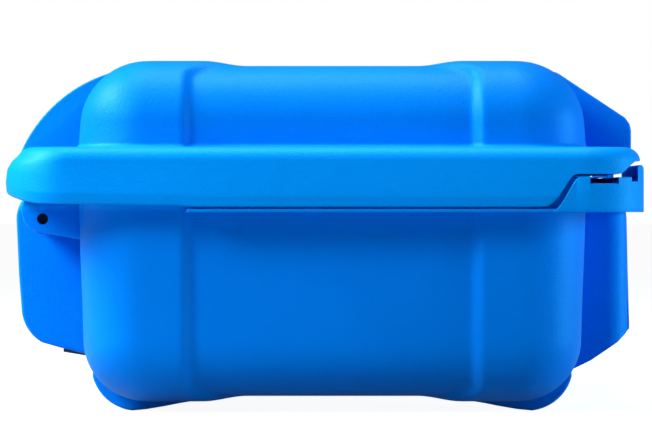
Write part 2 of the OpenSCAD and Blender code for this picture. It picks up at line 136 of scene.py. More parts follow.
class NodeSheet:
    """The node tree of one new material or world, with one method that makes every node."""

    def __init__(self, name: str, world: bool = False) -> None:
        """Makes the material or world and keeps its shader node.

        Args:
            name: its name.
            world: makes a world, whose shader is a Background.
        """
        self.owner = (bpy.data.worlds if world else bpy.data.materials).new(name)
        self.owner.use_nodes = True
        self.tree = self.owner.node_tree
        self.shader = self.tree.nodes["Background" if world else "Principled BSDF"]

    def node(self, kind: str, settings: dict, inputs: dict) -> bpy.types.Node:
        """Adds a node.

        Args:
            kind: the node's type.
            settings: its properties, set first.
            inputs: socket name or number to a value, a Channel or a socket.

        Returns:
            The new node.
        """
        made = self.tree.nodes.new(kind)
        for name, value in settings.items():
            setattr(made, name, value)
        for name, value in inputs.items():
            self.feed(made.inputs[name], value)
        return made

    def feed(self, socket: bpy.types.NodeSocket, value: object) -> None:
        """Links a Channel or socket to a socket, or sets a plain value on it.

        Args:
            socket: the input socket.
            value: a Channel, an output socket or a plain value.
        """
        if isinstance(value, Channel):
            value = value.socket
        if isinstance(value, bpy.types.NodeSocket):
            self.tree.links.new(value, socket)
        else:
            socket.default_value = value

    def place(self) -> bpy.types.NodeSocket:
        """The Object coordinate, which is the place on the case in metres."""
        return self.node("ShaderNodeTexCoord", {}, {}).outputs["Object"]

    def height(self) -> Channel:
        """The height on the case in metres."""
        return Channel(self, self.node("ShaderNodeSeparateXYZ", {}, {"Vector": self.place()}).outputs["Z"])

    def seen(self) -> Channel:
        """1 for what the camera sees directly and 0 for the light that the surface gives."""
        return Channel(self, self.node("ShaderNodeLightPath", {}, {}).outputs["Is Camera Ray"])

    def noise(self, scale: float, detail: float = 2.0, roughness: float = 0.5) -> Channel:
        """A noise pattern from 0 to 1.

        Args:
            scale: features per metre.
            detail: octaves.
            roughness: weight of the finer octaves.

        Returns:
            The pattern.
        """
        inputs = {"Vector": self.place(), "Scale": scale, "Detail": detail, "Roughness": roughness}
        return Channel(self, self.node("ShaderNodeTexNoise", {}, inputs).outputs["Fac"])

    def band(self, value: Channel, low: float, high: float) -> Channel:
        """Stretches value so that low becomes 0 and high becomes 1, and clips the rest."""
        inputs = {"Value": value, "From Min": low, "From Max": high}
        return Channel(self, self.node("ShaderNodeMapRange", {}, inputs).outputs["Result"])

    def mix(self, factor: object, first: object, second: object) -> bpy.types.NodeSocket:
        """Mixes two colours by factor and gives the result's socket."""
        made = self.node("ShaderNodeMix", {"data_type": "RGBA"}, {0: factor, 6: first, 7: second})
        return made.outputs[2]

    def bump(self, height: Channel, depth: float, strength: float = 1.0) -> bpy.types.NodeSocket:
        """A bumped normal.

        Args:
            height: the pattern of heights.
            depth: metres between pattern 0 and 1.
            strength: how much of the bump is used.

        Returns:
            The normal's socket.
        """
        inputs = {"Height": height, "Distance": depth, "Strength": strength}
        return self.node("ShaderNodeBump", {}, inputs).outputs["Normal"]


def shade(colour: tuple, factor: float) -> tuple:
    """A linear colour made lighter or darker by factor, as RGBA."""
    return tuple(min(c * factor, 1.0) for c in colour[:3]) + (1.0,)


def grey(level: float) -> tuple:
    """A grey as RGBA."""
    return (level, level, level, 1.0)


class Grain(Enum):
    """How coarse a moulded surface's spark texture is, in features per metre."""

    FINE = 1900.0
    MEDIUM = 1300.0


@dataclass(frozen=True)
class MouldedPlastic:
    """Satin injection-moulded plastic with a spark-eroded texture."""

    name: str
    colour: tuple[float, float, float]
    roughness: float = 0.42
    grain: Grain = Grain.FINE
    grain_depth: float = 0.00011
    sheen: tuple[float, float, float] = (0.02, 0.7, 1.0)
    # painted light: heights in metres between which the colour is painted lighter, for the rim band's
    # brighter lighting
    painted_light_heights: tuple[float, float] = (0.0, 0.0)

    def build(self) -> bpy.types.Material:
        """Writes the material: grain as bump, faint flow marks, grain specks painted toward the highlight's
        tint as painted glints, and a band of painted light on the rim.

        Returns:
            The finished material.
        """
        sheet = NodeSheet(self.name)
        grain = sheet.noise(self.grain.value, 3.0, 0.6)
        cloud = sheet.noise(14.0, 3.0, 0.55)
        flow = sheet.band(cloud, 0.3, 0.7)
        speck = sheet.band(grain, 0.52, 0.72)
        base = sheet.mix(flow, shade(self.colour, 0.93), shade(self.colour, 1.07))
        # painted light: the rim band between these heights is painted lighter, in place of the light it
        # catches
        if self.painted_light_heights[1] > self.painted_light_heights[0]:
            below, above = (sheet.band(sheet.height(), edge, edge + BAND_PAINTED_LIGHT_FADE) for edge in self.painted_light_heights)
            base = sheet.mix(below * (1.0 - above) * BAND_PAINTED_LIGHT_SHARE, base, BAND_PAINTED_LIGHT_COLOUR)
        # painted highlight: grain specks are painted toward the highlight's cyan tint, standing in for glints
        # on the grain
        painted_glint_tint = shade(tuple(0.92 * c + 0.08 * s for c, s in zip(self.colour, self.sheen)), 1.0)
        sheet.feed(sheet.shader.inputs["Base Color"], sheet.mix(speck * 0.14, base, painted_glint_tint))
        sheet.feed(sheet.shader.inputs["Roughness"], self.roughness - 0.05 + flow * 0.06 + speck * 0.08)
        sheet.feed(sheet.shader.inputs["Normal"], sheet.bump(grain, self.grain_depth))
        sheet.shader.inputs["Specular IOR Level"].default_value = 0.22
        sheet.shader.inputs["Specular Tint"].default_value = self.sheen + (1.0,)
        return sheet.owner


@dataclass(frozen=True)
class DrawnSteel:
    """Drawn stainless wire and rod, with fine lines along X."""

    name: str
    colour: tuple[float, float, float] = (0.58, 0.58, 0.57)
    roughness: float = 0.28

    def build(self) -> bpy.types.Material:
        """Writes the material: stretched noise for the drawing lines.

        Returns:
            The finished material.
        """
        sheet = NodeSheet(self.name)
        mapping = sheet.node("ShaderNodeMapping", {}, {"Vector": sheet.place(), "Scale": (0.04, 1.0, 1.0)})
        lines_node = sheet.node("ShaderNodeTexNoise", {},
                                {"Vector": mapping.outputs[0], "Scale": 4200.0, "Detail": 3.0})
        lines = Channel(sheet, lines_node.outputs["Fac"])
        stain = sheet.band(sheet.noise(160.0, 3.0), 0.4, 0.8)
        colour = sheet.mix(stain, shade(self.colour, 1.05), shade(self.colour, 0.8))
        sheet.feed(sheet.shader.inputs["Base Color"], colour)
        sheet.feed(sheet.shader.inputs["Roughness"], self.roughness + lines * 0.14 + stain * 0.1)
        sheet.feed(sheet.shader.inputs["Normal"], sheet.bump(lines, 0.00001))
        sheet.shader.inputs["Metallic"].default_value = 1.0
        return sheet.owner


@dataclass(frozen=True)
class MattRubber:
    """Moulded rubber, matt, with a faint bloom."""

    name: str
    colour: tuple[float, float, float]
    roughness: float = 0.72

    def build(self) -> bpy.types.Material:
        """Writes the material: soft bloom in colour and a fine skin texture.

        Returns:
            The finished material.
        """
        sheet = NodeSheet(self.name)
        bloom = sheet.band(sheet.noise(90.0, 4.0, 0.6), 0.45, 0.75)
        skin = sheet.noise(3200.0, 2.0)
        grey = tuple(0.8 * c + 0.02 for c in self.colour) + (1.0,)
        sheet.feed(sheet.shader.inputs["Base Color"], sheet.mix(bloom, shade(self.colour, 1.0), grey))
        sheet.feed(sheet.shader.inputs["Roughness"], self.roughness + bloom * 0.12)
        sheet.feed(sheet.shader.inputs["Normal"], sheet.bump(skin, 0.00003))
        return sheet.owner


@dataclass(frozen=True)
class OpenCellFoam:
    """Charcoal polyurethane foam with open cells."""

    name: str
    colour: tuple[float, float, float] = (0.045, 0.046, 0.05)
    cell: float = 900.0

    def build(self) -> bpy.types.Material:
        """Writes the material: Voronoi cells with painted shade darkening their hollows and painted light on
        their struts.

        Returns:
            The finished material.
        """
        sheet = NodeSheet(self.name)
        cells_node = sheet.node("ShaderNodeTexVoronoi", {}, {"Vector": sheet.place(), "Scale": self.cell})
        strut = sheet.band(Channel(sheet, cells_node.outputs["Distance"]), 0.15, 0.65)
        cloud = sheet.band(sheet.noise(60.0, 3.0), 0.35, 0.7)
        # painted shade in the cell hollows, and painted light on the struts, which are lighter than the
        # foam's own colour
        painted_hollow_shade = sheet.mix(cloud, shade(self.colour, 0.45), shade(self.colour, 0.6))
        sheet.feed(sheet.shader.inputs["Base Color"], sheet.mix(strut, painted_hollow_shade, shade(self.colour, 1.5)))
        sheet.feed(sheet.shader.inputs["Roughness"], 0.8 + strut * 0.15)
        sheet.feed(sheet.shader.inputs["Normal"], sheet.bump(strut, 0.0004))
        return sheet.owner


@dataclass(frozen=True)
class PorousFilm:
    """White breathing membrane with a felted surface."""

    name: str
    colour: tuple[float, float, float] = (0.8, 0.8, 0.77)

    def build(self) -> bpy.types.Material:
        """Writes the material: fibres as stretched noise.

        Returns:
            The finished material.
        """
        sheet = NodeSheet(self.name)
        fibres = sheet.noise(5200.0, 4.0, 0.7)
        tone = sheet.mix(sheet.band(fibres, 0.4, 0.6), shade(self.colour, 0.85), shade(self.colour, 1.0))
        sheet.feed(sheet.shader.inputs["Base Color"], tone)
        sheet.feed(sheet.shader.inputs["Roughness"], 0.8 + fibres * 0.1)
        sheet.feed(sheet.shader.inputs["Normal"], sheet.bump(fibres, 0.00002))
        return sheet.owner


@dataclass
class Finishes:
    """Every finish on the case, each built once, by the record's material slot."""

    built: dict[str, bpy.types.Material] = field(default_factory=dict)

    def build(self) -> None:
        """Builds one material for each slot."""
        finishes = {
            # painted light: the rim band, from 54.6 mm to 72.2 mm up, is painted lighter
            "shell_plastic": MouldedPlastic("shell_plastic", (0.0, 0.21, 0.86), painted_light_heights=(0.0546, 0.0722)),
            "latch_plastic": MouldedPlastic("latch_plastic", (0.0, 0.19, 0.8), 0.38),
            "pin_steel": DrawnSteel("pin_steel", (0.04, 0.04, 0.042), 0.36),
            "spring_steel": DrawnSteel("spring_steel", (0.5, 0.49, 0.46), 0.24),
            "gasket_rubber": MattRubber("gasket_rubber", (0.018, 0.018, 0.02)),
            "pad_rubber": MattRubber("pad_rubber", (0.045, 0.045, 0.05)),
            "valve_plastic": MouldedPlastic("valve_plastic", (0.022, 0.022, 0.025), 0.36, Grain.MEDIUM),
            "membrane": PorousFilm("membrane"),
            "foam": OpenCellFoam("foam"),
        }
        for slot, finish in finishes.items():
            self.built[slot] = finish.build()
            log.info("finish %s", slot)

    def dress_frame_node(self, node: str, slot: str) -> None:
        """Gives a CAD node that stays visible the finish of its slot.

        Args:
            node: the CAD node.
            slot: its material slot.
        """
        slots = bpy.data.objects[node].material_slots
        for material_slot in slots:
            material_slot.material = self.built[slot]


# ---------------------------------------------------------------- meshes


@dataclass
class Workshop:
    """Turns worked-out shapes into pieces of the case."""

    finishes: Finishes

    def piece(self, name: str, shape: Shape, body: str, slot: str, stands_for: tuple[str, ...] = (),
              bevel: float = 0.0, crease: float = 35.0,
              drills: tuple[Shape, ...] = ()) -> bpy.types.Object:
        """Makes one piece.

        Args:
            name: the piece's name.
            shape: its points in millimetres, and its faces.
            body: the CAD body that it moves with.
            slot: the material slot of its finish.
            stands_for: CAD nodes that it replaces.
            bevel: width in millimetres of the rounding on its edges.
            crease: edges that turn by more degrees than this stay sharp.
            drills: closed shapes that are cut out of it.

        Returns:
            The finished object.
        """
        piece = self._object(name, shape)
        if bevel > 0:
            rounding = piece.modifiers.new("edge rounding", "BEVEL")
            rounding.width = bevel * MM
            rounding.segments = 3
            rounding.limit_method = "ANGLE"
            rounding.angle_limit = math.radians(crease)
            rounding.harden_normals = False
            self._apply(piece, rounding.name)
        for number, drill in enumerate(drills):
            cutter = self._object(f"cutter_{number}", drill)
            cut = piece.modifiers.new("hole", "BOOLEAN")
            cut.object = cutter
            cut.operation = "DIFFERENCE"
            cut.solver = "EXACT"
            self._apply(piece, cut.name)
            bpy.data.objects.remove(cutter, do_unlink=True)
        piece.data.materials.clear()
        piece.data.materials.append(self.finishes.built[slot])
        piece.data.shade_smooth()
        piece.data.set_sharp_from_angle(angle=math.radians(crease))
        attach(piece, body)
        for node in stands_for:
            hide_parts(node)
        log.info("piece %s: %d faces on %s", name, len(piece.data.polygons), body)
        return piece

    @staticmethod
    def _object(name: str, shape: Shape) -> bpy.types.Object:
        """Puts a shape into a new object, merging points that meet and dropping empty faces.

        Args:
            name: the object's name.
            shape: points in millimetres, and faces.

        Returns:
            The new object.
        """
        points, faces = shape
        mesh = bpy.data.meshes.new(name)
        mesh.from_pydata((np.asarray(points) * MM).tolist(), [], faces)
        work = bmesh.new()
        work.from_mesh(mesh)
        bmesh.ops.remove_doubles(work, verts=work.verts, dist=1e-7)
        bmesh.ops.dissolve_degenerate(work, edges=work.edges, dist=1e-7)
        work.to_mesh(mesh)
        work.free()
        made = bpy.data.objects.new(name, mesh)
        bpy.context.scene.collection.objects.link(made)
        return made

    @staticmethod
    def _apply(piece: bpy.types.Object, modifier: str) -> None:
        """Applies one modifier of a piece."""
        with bpy.context.temp_override(object=piece, active_object=piece, selected_objects=[piece]):
            bpy.ops.object.modifier_apply(modifier=modifier)


def joined(*shapes: Shape) -> Shape:
    """Several shapes as one, their points one after another.

    Args:
        shapes: the shapes.

    Returns:
        The joined shape.
    """
    points, faces, start = [], [], 0
    for more_points, more_faces in shapes:
        points.append(more_points)
        faces.extend([tuple(int(i) + start for i in face) for face in more_faces])
        start += len(more_points)
    return np.concatenate(points), faces


def mirrored(shape: Shape) -> Shape:
    """The shape on the other end of the case: X negated and every face turned round to suit."""
    points, faces = shape
    return points * [-1.0, 1.0, 1.0], [tuple(face)[::-1] for face in faces]


def both_ends(shape: Shape) -> Shape:
    """The shape and its mirror image across the middle of the case."""
    return joined(shape, mirrored(shape))


def grid_faces(index: Array, loop_u: bool = False, loop_v: bool = False, flip: bool = False) -> list:
    """Quads over a grid of point numbers.

    Args:
        index: point numbers, one row for each u.
        loop_u: the last row joins the first.
        loop_v: the last column joins the first.
        flip: turn the faces round.

    Returns:
        Faces that are counter-clockwise where u runs right and v runs up.
    """
    if loop_u:
        index = np.concatenate([index, index[:1]], axis=0)
    if loop_v:
        index = np.concatenate([index, index[:, :1]], axis=1)
    quads = np.stack([index[:-1, :-1], index[1:, :-1], index[1:, 1:], index[:-1, 1:]], axis=-1)
    quads = quads.reshape(-1, 4)
    return (quads[:, ::-1] if flip else quads).tolist()


def arc(y: float, z: float, radius: float, start: float, stop: float, steps: int = 8) -> Array:
    """Points of an arc in Y and Z: centre plus radius times cosine and sine, start to stop in degrees."""
    angle = np.radians(np.linspace(start, stop, steps + 1))
    return np.stack([y + radius * np.cos(angle), z + radius * np.sin(angle)], axis=-1)


def through(start: tuple, middle: tuple, end: tuple, steps: int = 20) -> Array:
    """Points of the arc through three points in Y and Z.

    The centre is where the two chords' middle lines meet, as it is equally far from all three points.

    Args:
        start, middle, end: the three points, counter-clockwise.
        steps: pieces between start and end.

    Returns:
        The arc's points.
    """
    a, b, c = (np.array(p, float) for p in (start, middle, end))
    centre = np.linalg.solve(2 * np.array([b - a, c - a]), [b @ b - a @ a, c @ c - a @ a])
    first, last = (math.degrees(math.atan2(*(p - centre)[::-1])) for p in (a, c))
    return arc(centre[0], centre[1], float(np.linalg.norm(a - centre)), first, last, steps)


def prism(outline: Array, x0: float, x1: float) -> Shape:
    """A closed outline in Y and Z, counter-clockwise, carried straight along X from x0 to x1.

    Args:
        outline: points in Y and Z.
        x0, x1: where it starts and ends.

    Returns:
        The closed shape.
    """
    outline = np.asarray(outline, float)
    count = len(outline)
    ends = [np.column_stack([np.full(count, x), outline]) for x in (x0, x1)]
    index = np.arange(2 * count).reshape(2, count)
    caps = [tuple(range(count))[::-1], tuple(range(count, 2 * count))]
    return np.concatenate(ends), grid_faces(index.T, loop_u=True) + caps


def slab(x: Array, y: Array, top: Array, bottom: Array) -> Shape:
    """A closed solid between two height fields over the same grid of X and Y.

    Args:
        x, y: grids of places, X rising along the first index and Y along the second.
        top, bottom: the heights of the upper and lower surface at each place.

    Returns:
        Upper surface, lower surface and the walls round their edges.
    """
    rows, columns = x.shape
    upper = np.arange(rows * columns).reshape(rows, columns)
    lower = upper + rows * columns
    points = np.concatenate([np.stack([x, y, top], -1).reshape(-1, 3),
                             np.stack([x, y, bottom], -1).reshape(-1, 3)])
    rim = np.concatenate([upper[:, 0], upper[-1, 1:], upper[-2::-1, -1], upper[0, -2:0:-1]])
    walls = np.stack([rim + rows * columns, rim], axis=-1)
    faces = grid_faces(upper) + grid_faces(lower, flip=True) + grid_faces(walls, loop_u=True)
    return points, faces


def refined(line: list, step: float) -> Array:
    """A polyline with points added so that none are further apart than step.

    Args:
        line: the corners, each a point in Y and Z.
        step: the greatest distance along either axis.

    Returns:
        The points.
    """
    line = np.asarray(line, float)
    pieces = [line[:1]]
    for a, b in zip(line[:-1], line[1:]):
        count = max(1, int(math.ceil(np.abs(b - a).max() / step)))
        pieces.append(a + (b - a) * (np.arange(1, count + 1) / count)[:, None])
    return np.concatenate(pieces)


def tube(path: Array, radius: float, sides: int = 10) -> Shape:
    """A round wire along a path: each point's circle stands square to the path, and both ends close.

    Args:
        path: points of the middle line.
        radius: the wire's radius.
        sides: points round the wire.

    Returns:
        The wire as a closed shape.
    """
    along = np.gradient(path, axis=0)
    along /= np.linalg.norm(along, axis=1)[:, None]
    side = np.cross(along, [1.0, 0.02, 0.03])
    side /= np.linalg.norm(side, axis=1)[:, None]
    other = np.cross(along, side)
    angle = np.linspace(0, 2 * math.pi, sides, endpoint=False)
    circle = side[:, None] * np.cos(angle)[:, None] + other[:, None] * np.sin(angle)[:, None]
    index = np.arange(len(path) * sides).reshape(len(path), sides)
    caps = [tuple(index[0, ::-1].tolist()), tuple(index[-1].tolist())]
    return (path[:, None] + radius * circle).reshape(-1, 3), grid_faces(index, loop_v=True, flip=True) + caps


def turned_disc(profile: Array, centre: tuple[float, float], sides: int = 64) -> Shape:
    """A profile of (radius, Y) turned round an axis that runs along Y.

    Args:
        profile: points from the axis round to the axis again, or a closed ring.
        centre: the axis in X and Z.
        sides: points round the axis.

    Returns:
        The turned shape.
    """
    profile = np.asarray(profile, float)
    angle = np.linspace(0, 2 * math.pi, sides, endpoint=False)[:, None]
    along = np.broadcast_to(profile[:, 1], (sides, len(profile)))
    points = np.stack([centre[0] + profile[:, 0] * np.cos(angle), along,
                       centre[1] + profile[:, 0] * np.sin(angle)], axis=-1)
    index = np.arange(sides * len(profile)).reshape(sides, len(profile))
    return points.reshape(-1, 3), grid_faces(index, loop_u=True)


def smooth_rise(value: Array) -> Array:
    """0 below 0, 1 above 1, and a cubic with level ends between."""
    t = np.clip(value, 0.0, 1.0)
    return t * t * (3.0 - 2.0 * t)


# ---------------------------------------------------------------- sizes


@dataclass(frozen=True)
class CaseSizes:
    """The case's sizes in millimetres: places from the frame, sections from the moulding's design."""

    half_length: float
    half_width: float
    height: float
    seal_z: float
    hinge: tuple[float, float]
    pivot: tuple[float, float]
    padlock: tuple[float, float, float]
    shift: float = -2.2
    tub_x: float = 102.5
    tub_y: float = 69.0
    side_land: float = 1.3
    panel: float = 2.3
    wall: float = 3.0
    step_y: float = 37.2
    step_x: float = 72.0
    step_run: float = 3.7
    corner: float = 18.0
    rim_corner: float = 17.0
    skirt_wall: float = 2.2
    foot: float = 2.9
    lid_sink: float = -1.4
    base_sink: float = 1.5
    base_round: float = 17.0
    lid_round: float = 17.0
    bay: float = 34.0
    barrel: float = 49.0

    @classmethod
    def from_frame(cls, record: dict) -> "CaseSizes":
        """Reads the driving places off the CAD nodes and the record's mounts.

        Args:
            record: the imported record.

        Returns:
            The sizes.
        """
        high = np.array(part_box("lid_shell")[1]) / MM
        gasket_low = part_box("lid_gasket")[0].z / MM
        hinge_low, hinge_high = (np.array(v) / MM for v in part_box("right_hinge_pin"))
        pivot_low, pivot_high = (np.array(v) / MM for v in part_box("right_latch_pivot"))
        mount = next(m for m in record["mounts"] if m["name"] == "right_padlock_hole")
        return cls(
            padlock=(mount["pos_m"][0] / MM, mount["pos_m"][1] / MM, mount["dims"]["r_mm"]),
            half_length=float(high[0]),
            half_width=float(high[1]),
            height=float(high[2]),
            seal_z=float(gasket_low - 0.6),
            hinge=tuple(((hinge_low + hinge_high) / 2)[1:].tolist()),
            pivot=tuple(((pivot_low + pivot_high) / 2)[1:].tolist()),
        )

    @property
    def lid_z(self) -> float:
        """Underside of the lid's rim."""
        return self.seal_z + 0.8

    @property
    def band_z(self) -> float:
        """Top of the lid's band."""
        return self.seal_z + 8.1

    @property
    def skirt_z(self) -> float:
        """Lower edge of the lid's skirt."""
        return self.seal_z - 8.1

    @property
    def flange_z(self) -> float:
        """Underside of the base's rim."""
        return self.seal_z - 9.4

    @property
    def inner_x(self) -> float:
        """Half length of the cavity."""
        return self.tub_x - self.panel - self.wall

    @property
    def inner_y(self) -> float:
        """Half width of the cavity."""
        return self.tub_y - self.panel - self.wall - self.side_land

    @property
    def front(self) -> float:
        """Y of the rim's front."""
        return -self.half_width

    @property
    def bay_y(self) -> float:
        """Y of the back of the latch bay."""
        return self.front + 15.4


# ---------------------------------------------------------------- plan rings


def rows(hx: Values, hy: Values, radius: Values, z: Values, middle: Values = 0.0, recess: Values = 0.0,
         sink: Values = 0.0, turn: Values = 0.0) -> Array:
    """Plan rings as rows of eight numbers, with single values spread over all of them.

    Args:
        hx, hy: half length and half width.
        radius: radius of the corners.
        z: height.
        middle: Y of the ring's middle.
        recess: how far the panels lie inside the pads.
        sink: how far the panels lie above (or below, if negative) the pads.
        turn: degrees by which the surface has turned over from upright to level.

    Returns:
        One row for each ring.
    """
    columns = [np.atleast_1d(np.asarray(v, float)) for v in (hx, hy, radius, z, middle, recess, sink, turn)]
    return np.stack(np.broadcast_arrays(*columns), axis=-1)


@dataclass(frozen=True)
class PlanLines:
    """Lines that run up a moulding and cross its plan rings at the same places on every ring.

    On each side the lines have fixed distances from the middle, then share out the straight stretch
    up to the corner's arc, then share out half of the arc.
    """

    across: Array
    along: Array
    pad: int
    corner: int
    step_y: tuple[float, float] = (37.2, 23.2)
    step_x: tuple[float, float] = (72.0, 58.0)
    run: tuple[float, float] = (3.7, 12.0)

    def _weight(self, distance: Array, step: tuple[float, float], turn: Array) -> Array:
        """1 on a pad and 0 on a panel: a smooth rise over the step, which moves in as the surface turns.

        Args:
            distance: distances from the middle of the side.
            step: where the rise starts on an upright and on a level surface.
            turn: degrees turned over, one for each ring.

        Returns:
            The share of the pad.
        """
        drift = smooth_rise((turn - 50.0) / 40.0)
        start = step[0] + (step[1] - step[0]) * drift
        width = self.run[0] + (self.run[1] - self.run[0]) * drift
        return smooth_rise((distance - start) / width)

    def _half_side(self, fixed: Array, limit: Array, reach: Array, radius: Array) -> tuple[Array, Array]:
        """Half of one side of each ring.

        Args:
            fixed: the fixed distances from the middle.
            limit: distance of the side itself, one for each ring.
            reach: half length of the side with its corner, one for each ring.
            radius: corner radius, one for each ring.

        Returns:
            Distances from the middle along the side, and distances of the points outwards.
        """
        count = len(limit)
        straight = (reach - radius)[:, None]
        share = np.arange(1, self.pad + 1) / self.pad
        angle = np.radians(45.0 * np.arange(1, self.corner + 1) / self.corner)
        spread = np.concatenate([
            np.broadcast_to(fixed, (count, len(fixed))),
            fixed[-1] + share * (straight - fixed[-1]),
            straight + radius[:, None] * np.sin(angle)], axis=1)
        level = np.broadcast_to(limit[:, None], (count, len(fixed) + self.pad))
        out = np.concatenate([level, limit[:, None] - radius[:, None] * (1 - np.cos(angle))], axis=1)
        return spread, out

    def stack(self, table: Array) -> Array:
        """The points of every ring, counter-clockwise from the front corner of the +X end.

        Args:
            table: the rings, as rows() gives them.

        Returns:
            Points by ring and line.
        """
        hx, hy, radius, z, middle, recess, sink, turn = table.T
        y_end, x_end = self._half_side(self.across, hx, hy, radius)
        x_side, y_side = self._half_side(self.along, hy, hx, radius)
        pad_end = self._weight(y_end, self.step_y, turn[:, None])
        pad_side = self._weight(x_side, self.step_x, turn[:, None])
        x_end = x_end - recess[:, None] * (1 - pad_end)
        y_side = y_side - recess[:, None] * (1 - pad_side)
        z_end = z[:, None] + sink[:, None] * (1 - pad_end)
        z_side = z[:, None] + sink[:, None] * (1 - pad_side)
        end = np.stack([x_end, y_end, z_end], axis=-1)
        side = np.stack([x_side, y_side, z_side], axis=-1)
        sides = []
        for half, first, second in ((end, (1, -1), (1, 1)), (side, (1, 1), (-1, 1)),
                                    (end, (-1, 1), (-1, -1)), (side, (-1, -1), (1, -1))):
            arriving = half[:, :0:-1] * [first[0], first[1], 1.0]
            leaving = half * [second[0], second[1], 1.0]
            sides.append(np.concatenate([arriving, leaving], axis=1)[:, :-1])
        ring = np.concatenate(sides, axis=1)
        ring[..., 1] += middle[:, None]
        return ring

    def cap(self, row: Array, height: Optional[Callable[[Array, Array], Array]] = None) -> Array:
        """The level surface inside one ring.

        Square cells become round in the corners by p' = p sqrt(1 - q^2 / 2r^2), and the same for q.

        Args:
            row: the ring, as rows() gives it.
            height: gives Z from X and Y; without it the panels' cross is sunk between the pads.

        Returns:
            A grid of points by line along and line across.
        """
        hx, hy, radius, z, middle, _, sink, turn = row
        angle = np.radians(45.0 * np.arange(1, self.corner + 1) / self.corner)
        share = np.arange(1, self.pad + 1) / self.pad

        def half(fixed: Array, reach: float) -> Array:
            """Distances of the lines from the middle on one half.

            Args:
                fixed: the distances that every ring has.
                reach: the ring's half extent.

            Returns:
                The distances.
            """
            straight = reach - radius
            return np.concatenate([fixed, fixed[-1] + share * (straight - fixed[-1]),
                                   straight + math.sqrt(2) * radius * np.sin(angle)])

        gx, gy = half(self.along, hx), half(self.across, hy)
        x, y = np.meshgrid(np.concatenate([-gx[:0:-1], gx]), np.concatenate([-gy[:0:-1], gy]), indexing="ij")
        p = np.clip(np.abs(x) - (hx - radius), 0.0, None)
        q = np.clip(np.abs(y) - (hy - radius), 0.0, None)
        round_x = np.sign(x) * (hx - radius + p * np.sqrt(1 - q * q / (2 * radius * radius)))
        round_y = np.sign(y) * (hy - radius + q * np.sqrt(1 - p * p / (2 * radius * radius)))
        corner = (p > 0) & (q > 0)
        x, y = np.where(corner, round_x, x), np.where(corner, round_y, y)
        pad = self._weight(np.abs(x), self.step_x, turn) * self._weight(np.abs(y), self.step_y, turn)
        level = z + sink * (1 - pad) if height is None else height(x, y)
        return np.stack([x, y + middle, level], axis=-1)

    def _edge_index(self, start: int) -> Array:
        """Point numbers of a cap's grid: its edge takes those of the ring that starts at start.

        Args:
            start: number of the ring's first point.

        Returns:
            The grid, with -1 for points inside the edge.
        """
        nx, ny = (2 * (len(fixed) + self.pad + self.corner) - 1 for fixed in (self.along, self.across))
        index = np.full((nx, ny), -1)
        lengths = np.cumsum([0, ny - 1, nx - 1, ny - 1])
        index[-1, :-1] = start + lengths[0] + np.arange(ny - 1)
        index[:0:-1, -1] = start + lengths[1] + np.arange(nx - 1)
        index[0, :0:-1] = start + lengths[2] + np.arange(ny - 1)
        index[:-1, 0] = start + lengths[3] + np.arange(nx - 1)
        return index

    def loft(self, rings: Array, first: Array, last: Array, upward: bool = True) -> Shape:
        """A closed shape through a stack of rings, capped at both ends.

        Args:
            rings: points by ring and line, starting at the inner end.
            first, last: the caps' grids for the first and the last ring.
            upward: the outer rings run upwards; otherwise every face is turned round.

        Returns:
            The closed shape.
        """
        count, lines = rings.shape[:2]
        index = np.arange(count * lines).reshape(count, lines)
        faces = grid_faces(index, loop_v=True, flip=upward)
        points = [rings.reshape(-1, 3)]
        start = count * lines
        for grid, ring_start, flip in ((first, 0, upward), (last, (count - 1) * lines, not upward)):
            numbers = self._edge_index(ring_start)
            inside = numbers < 0
            numbers[inside] = start + np.arange(inside.sum())
            points.append(grid[inside])
            start += int(inside.sum())
            faces += grid_faces(numbers, flip=flip)
        return np.concatenate(points), faces

    @staticmethod
    def ring_tube(rings: Array) -> Shape:
        """A closed band whose last ring joins its first: a profile carried round the plan.

        Args:
            rings: points by ring and line.

        Returns:
            The closed shape.
        """
        count, lines = rings.shape[:2]
        index = np.arange(count * lines).reshape(count, lines)
        return rings.reshape(-1, 3), grid_faces(index, loop_u=True, loop_v=True, flip=True)


def shrinking(radius: float, inset: Array) -> Array:
    """Corner radius of a ring that has moved in by inset over a rounding."""
    return np.maximum(radius - 0.8 * inset, 2.5)


# ---------------------------------------------------------------- shells


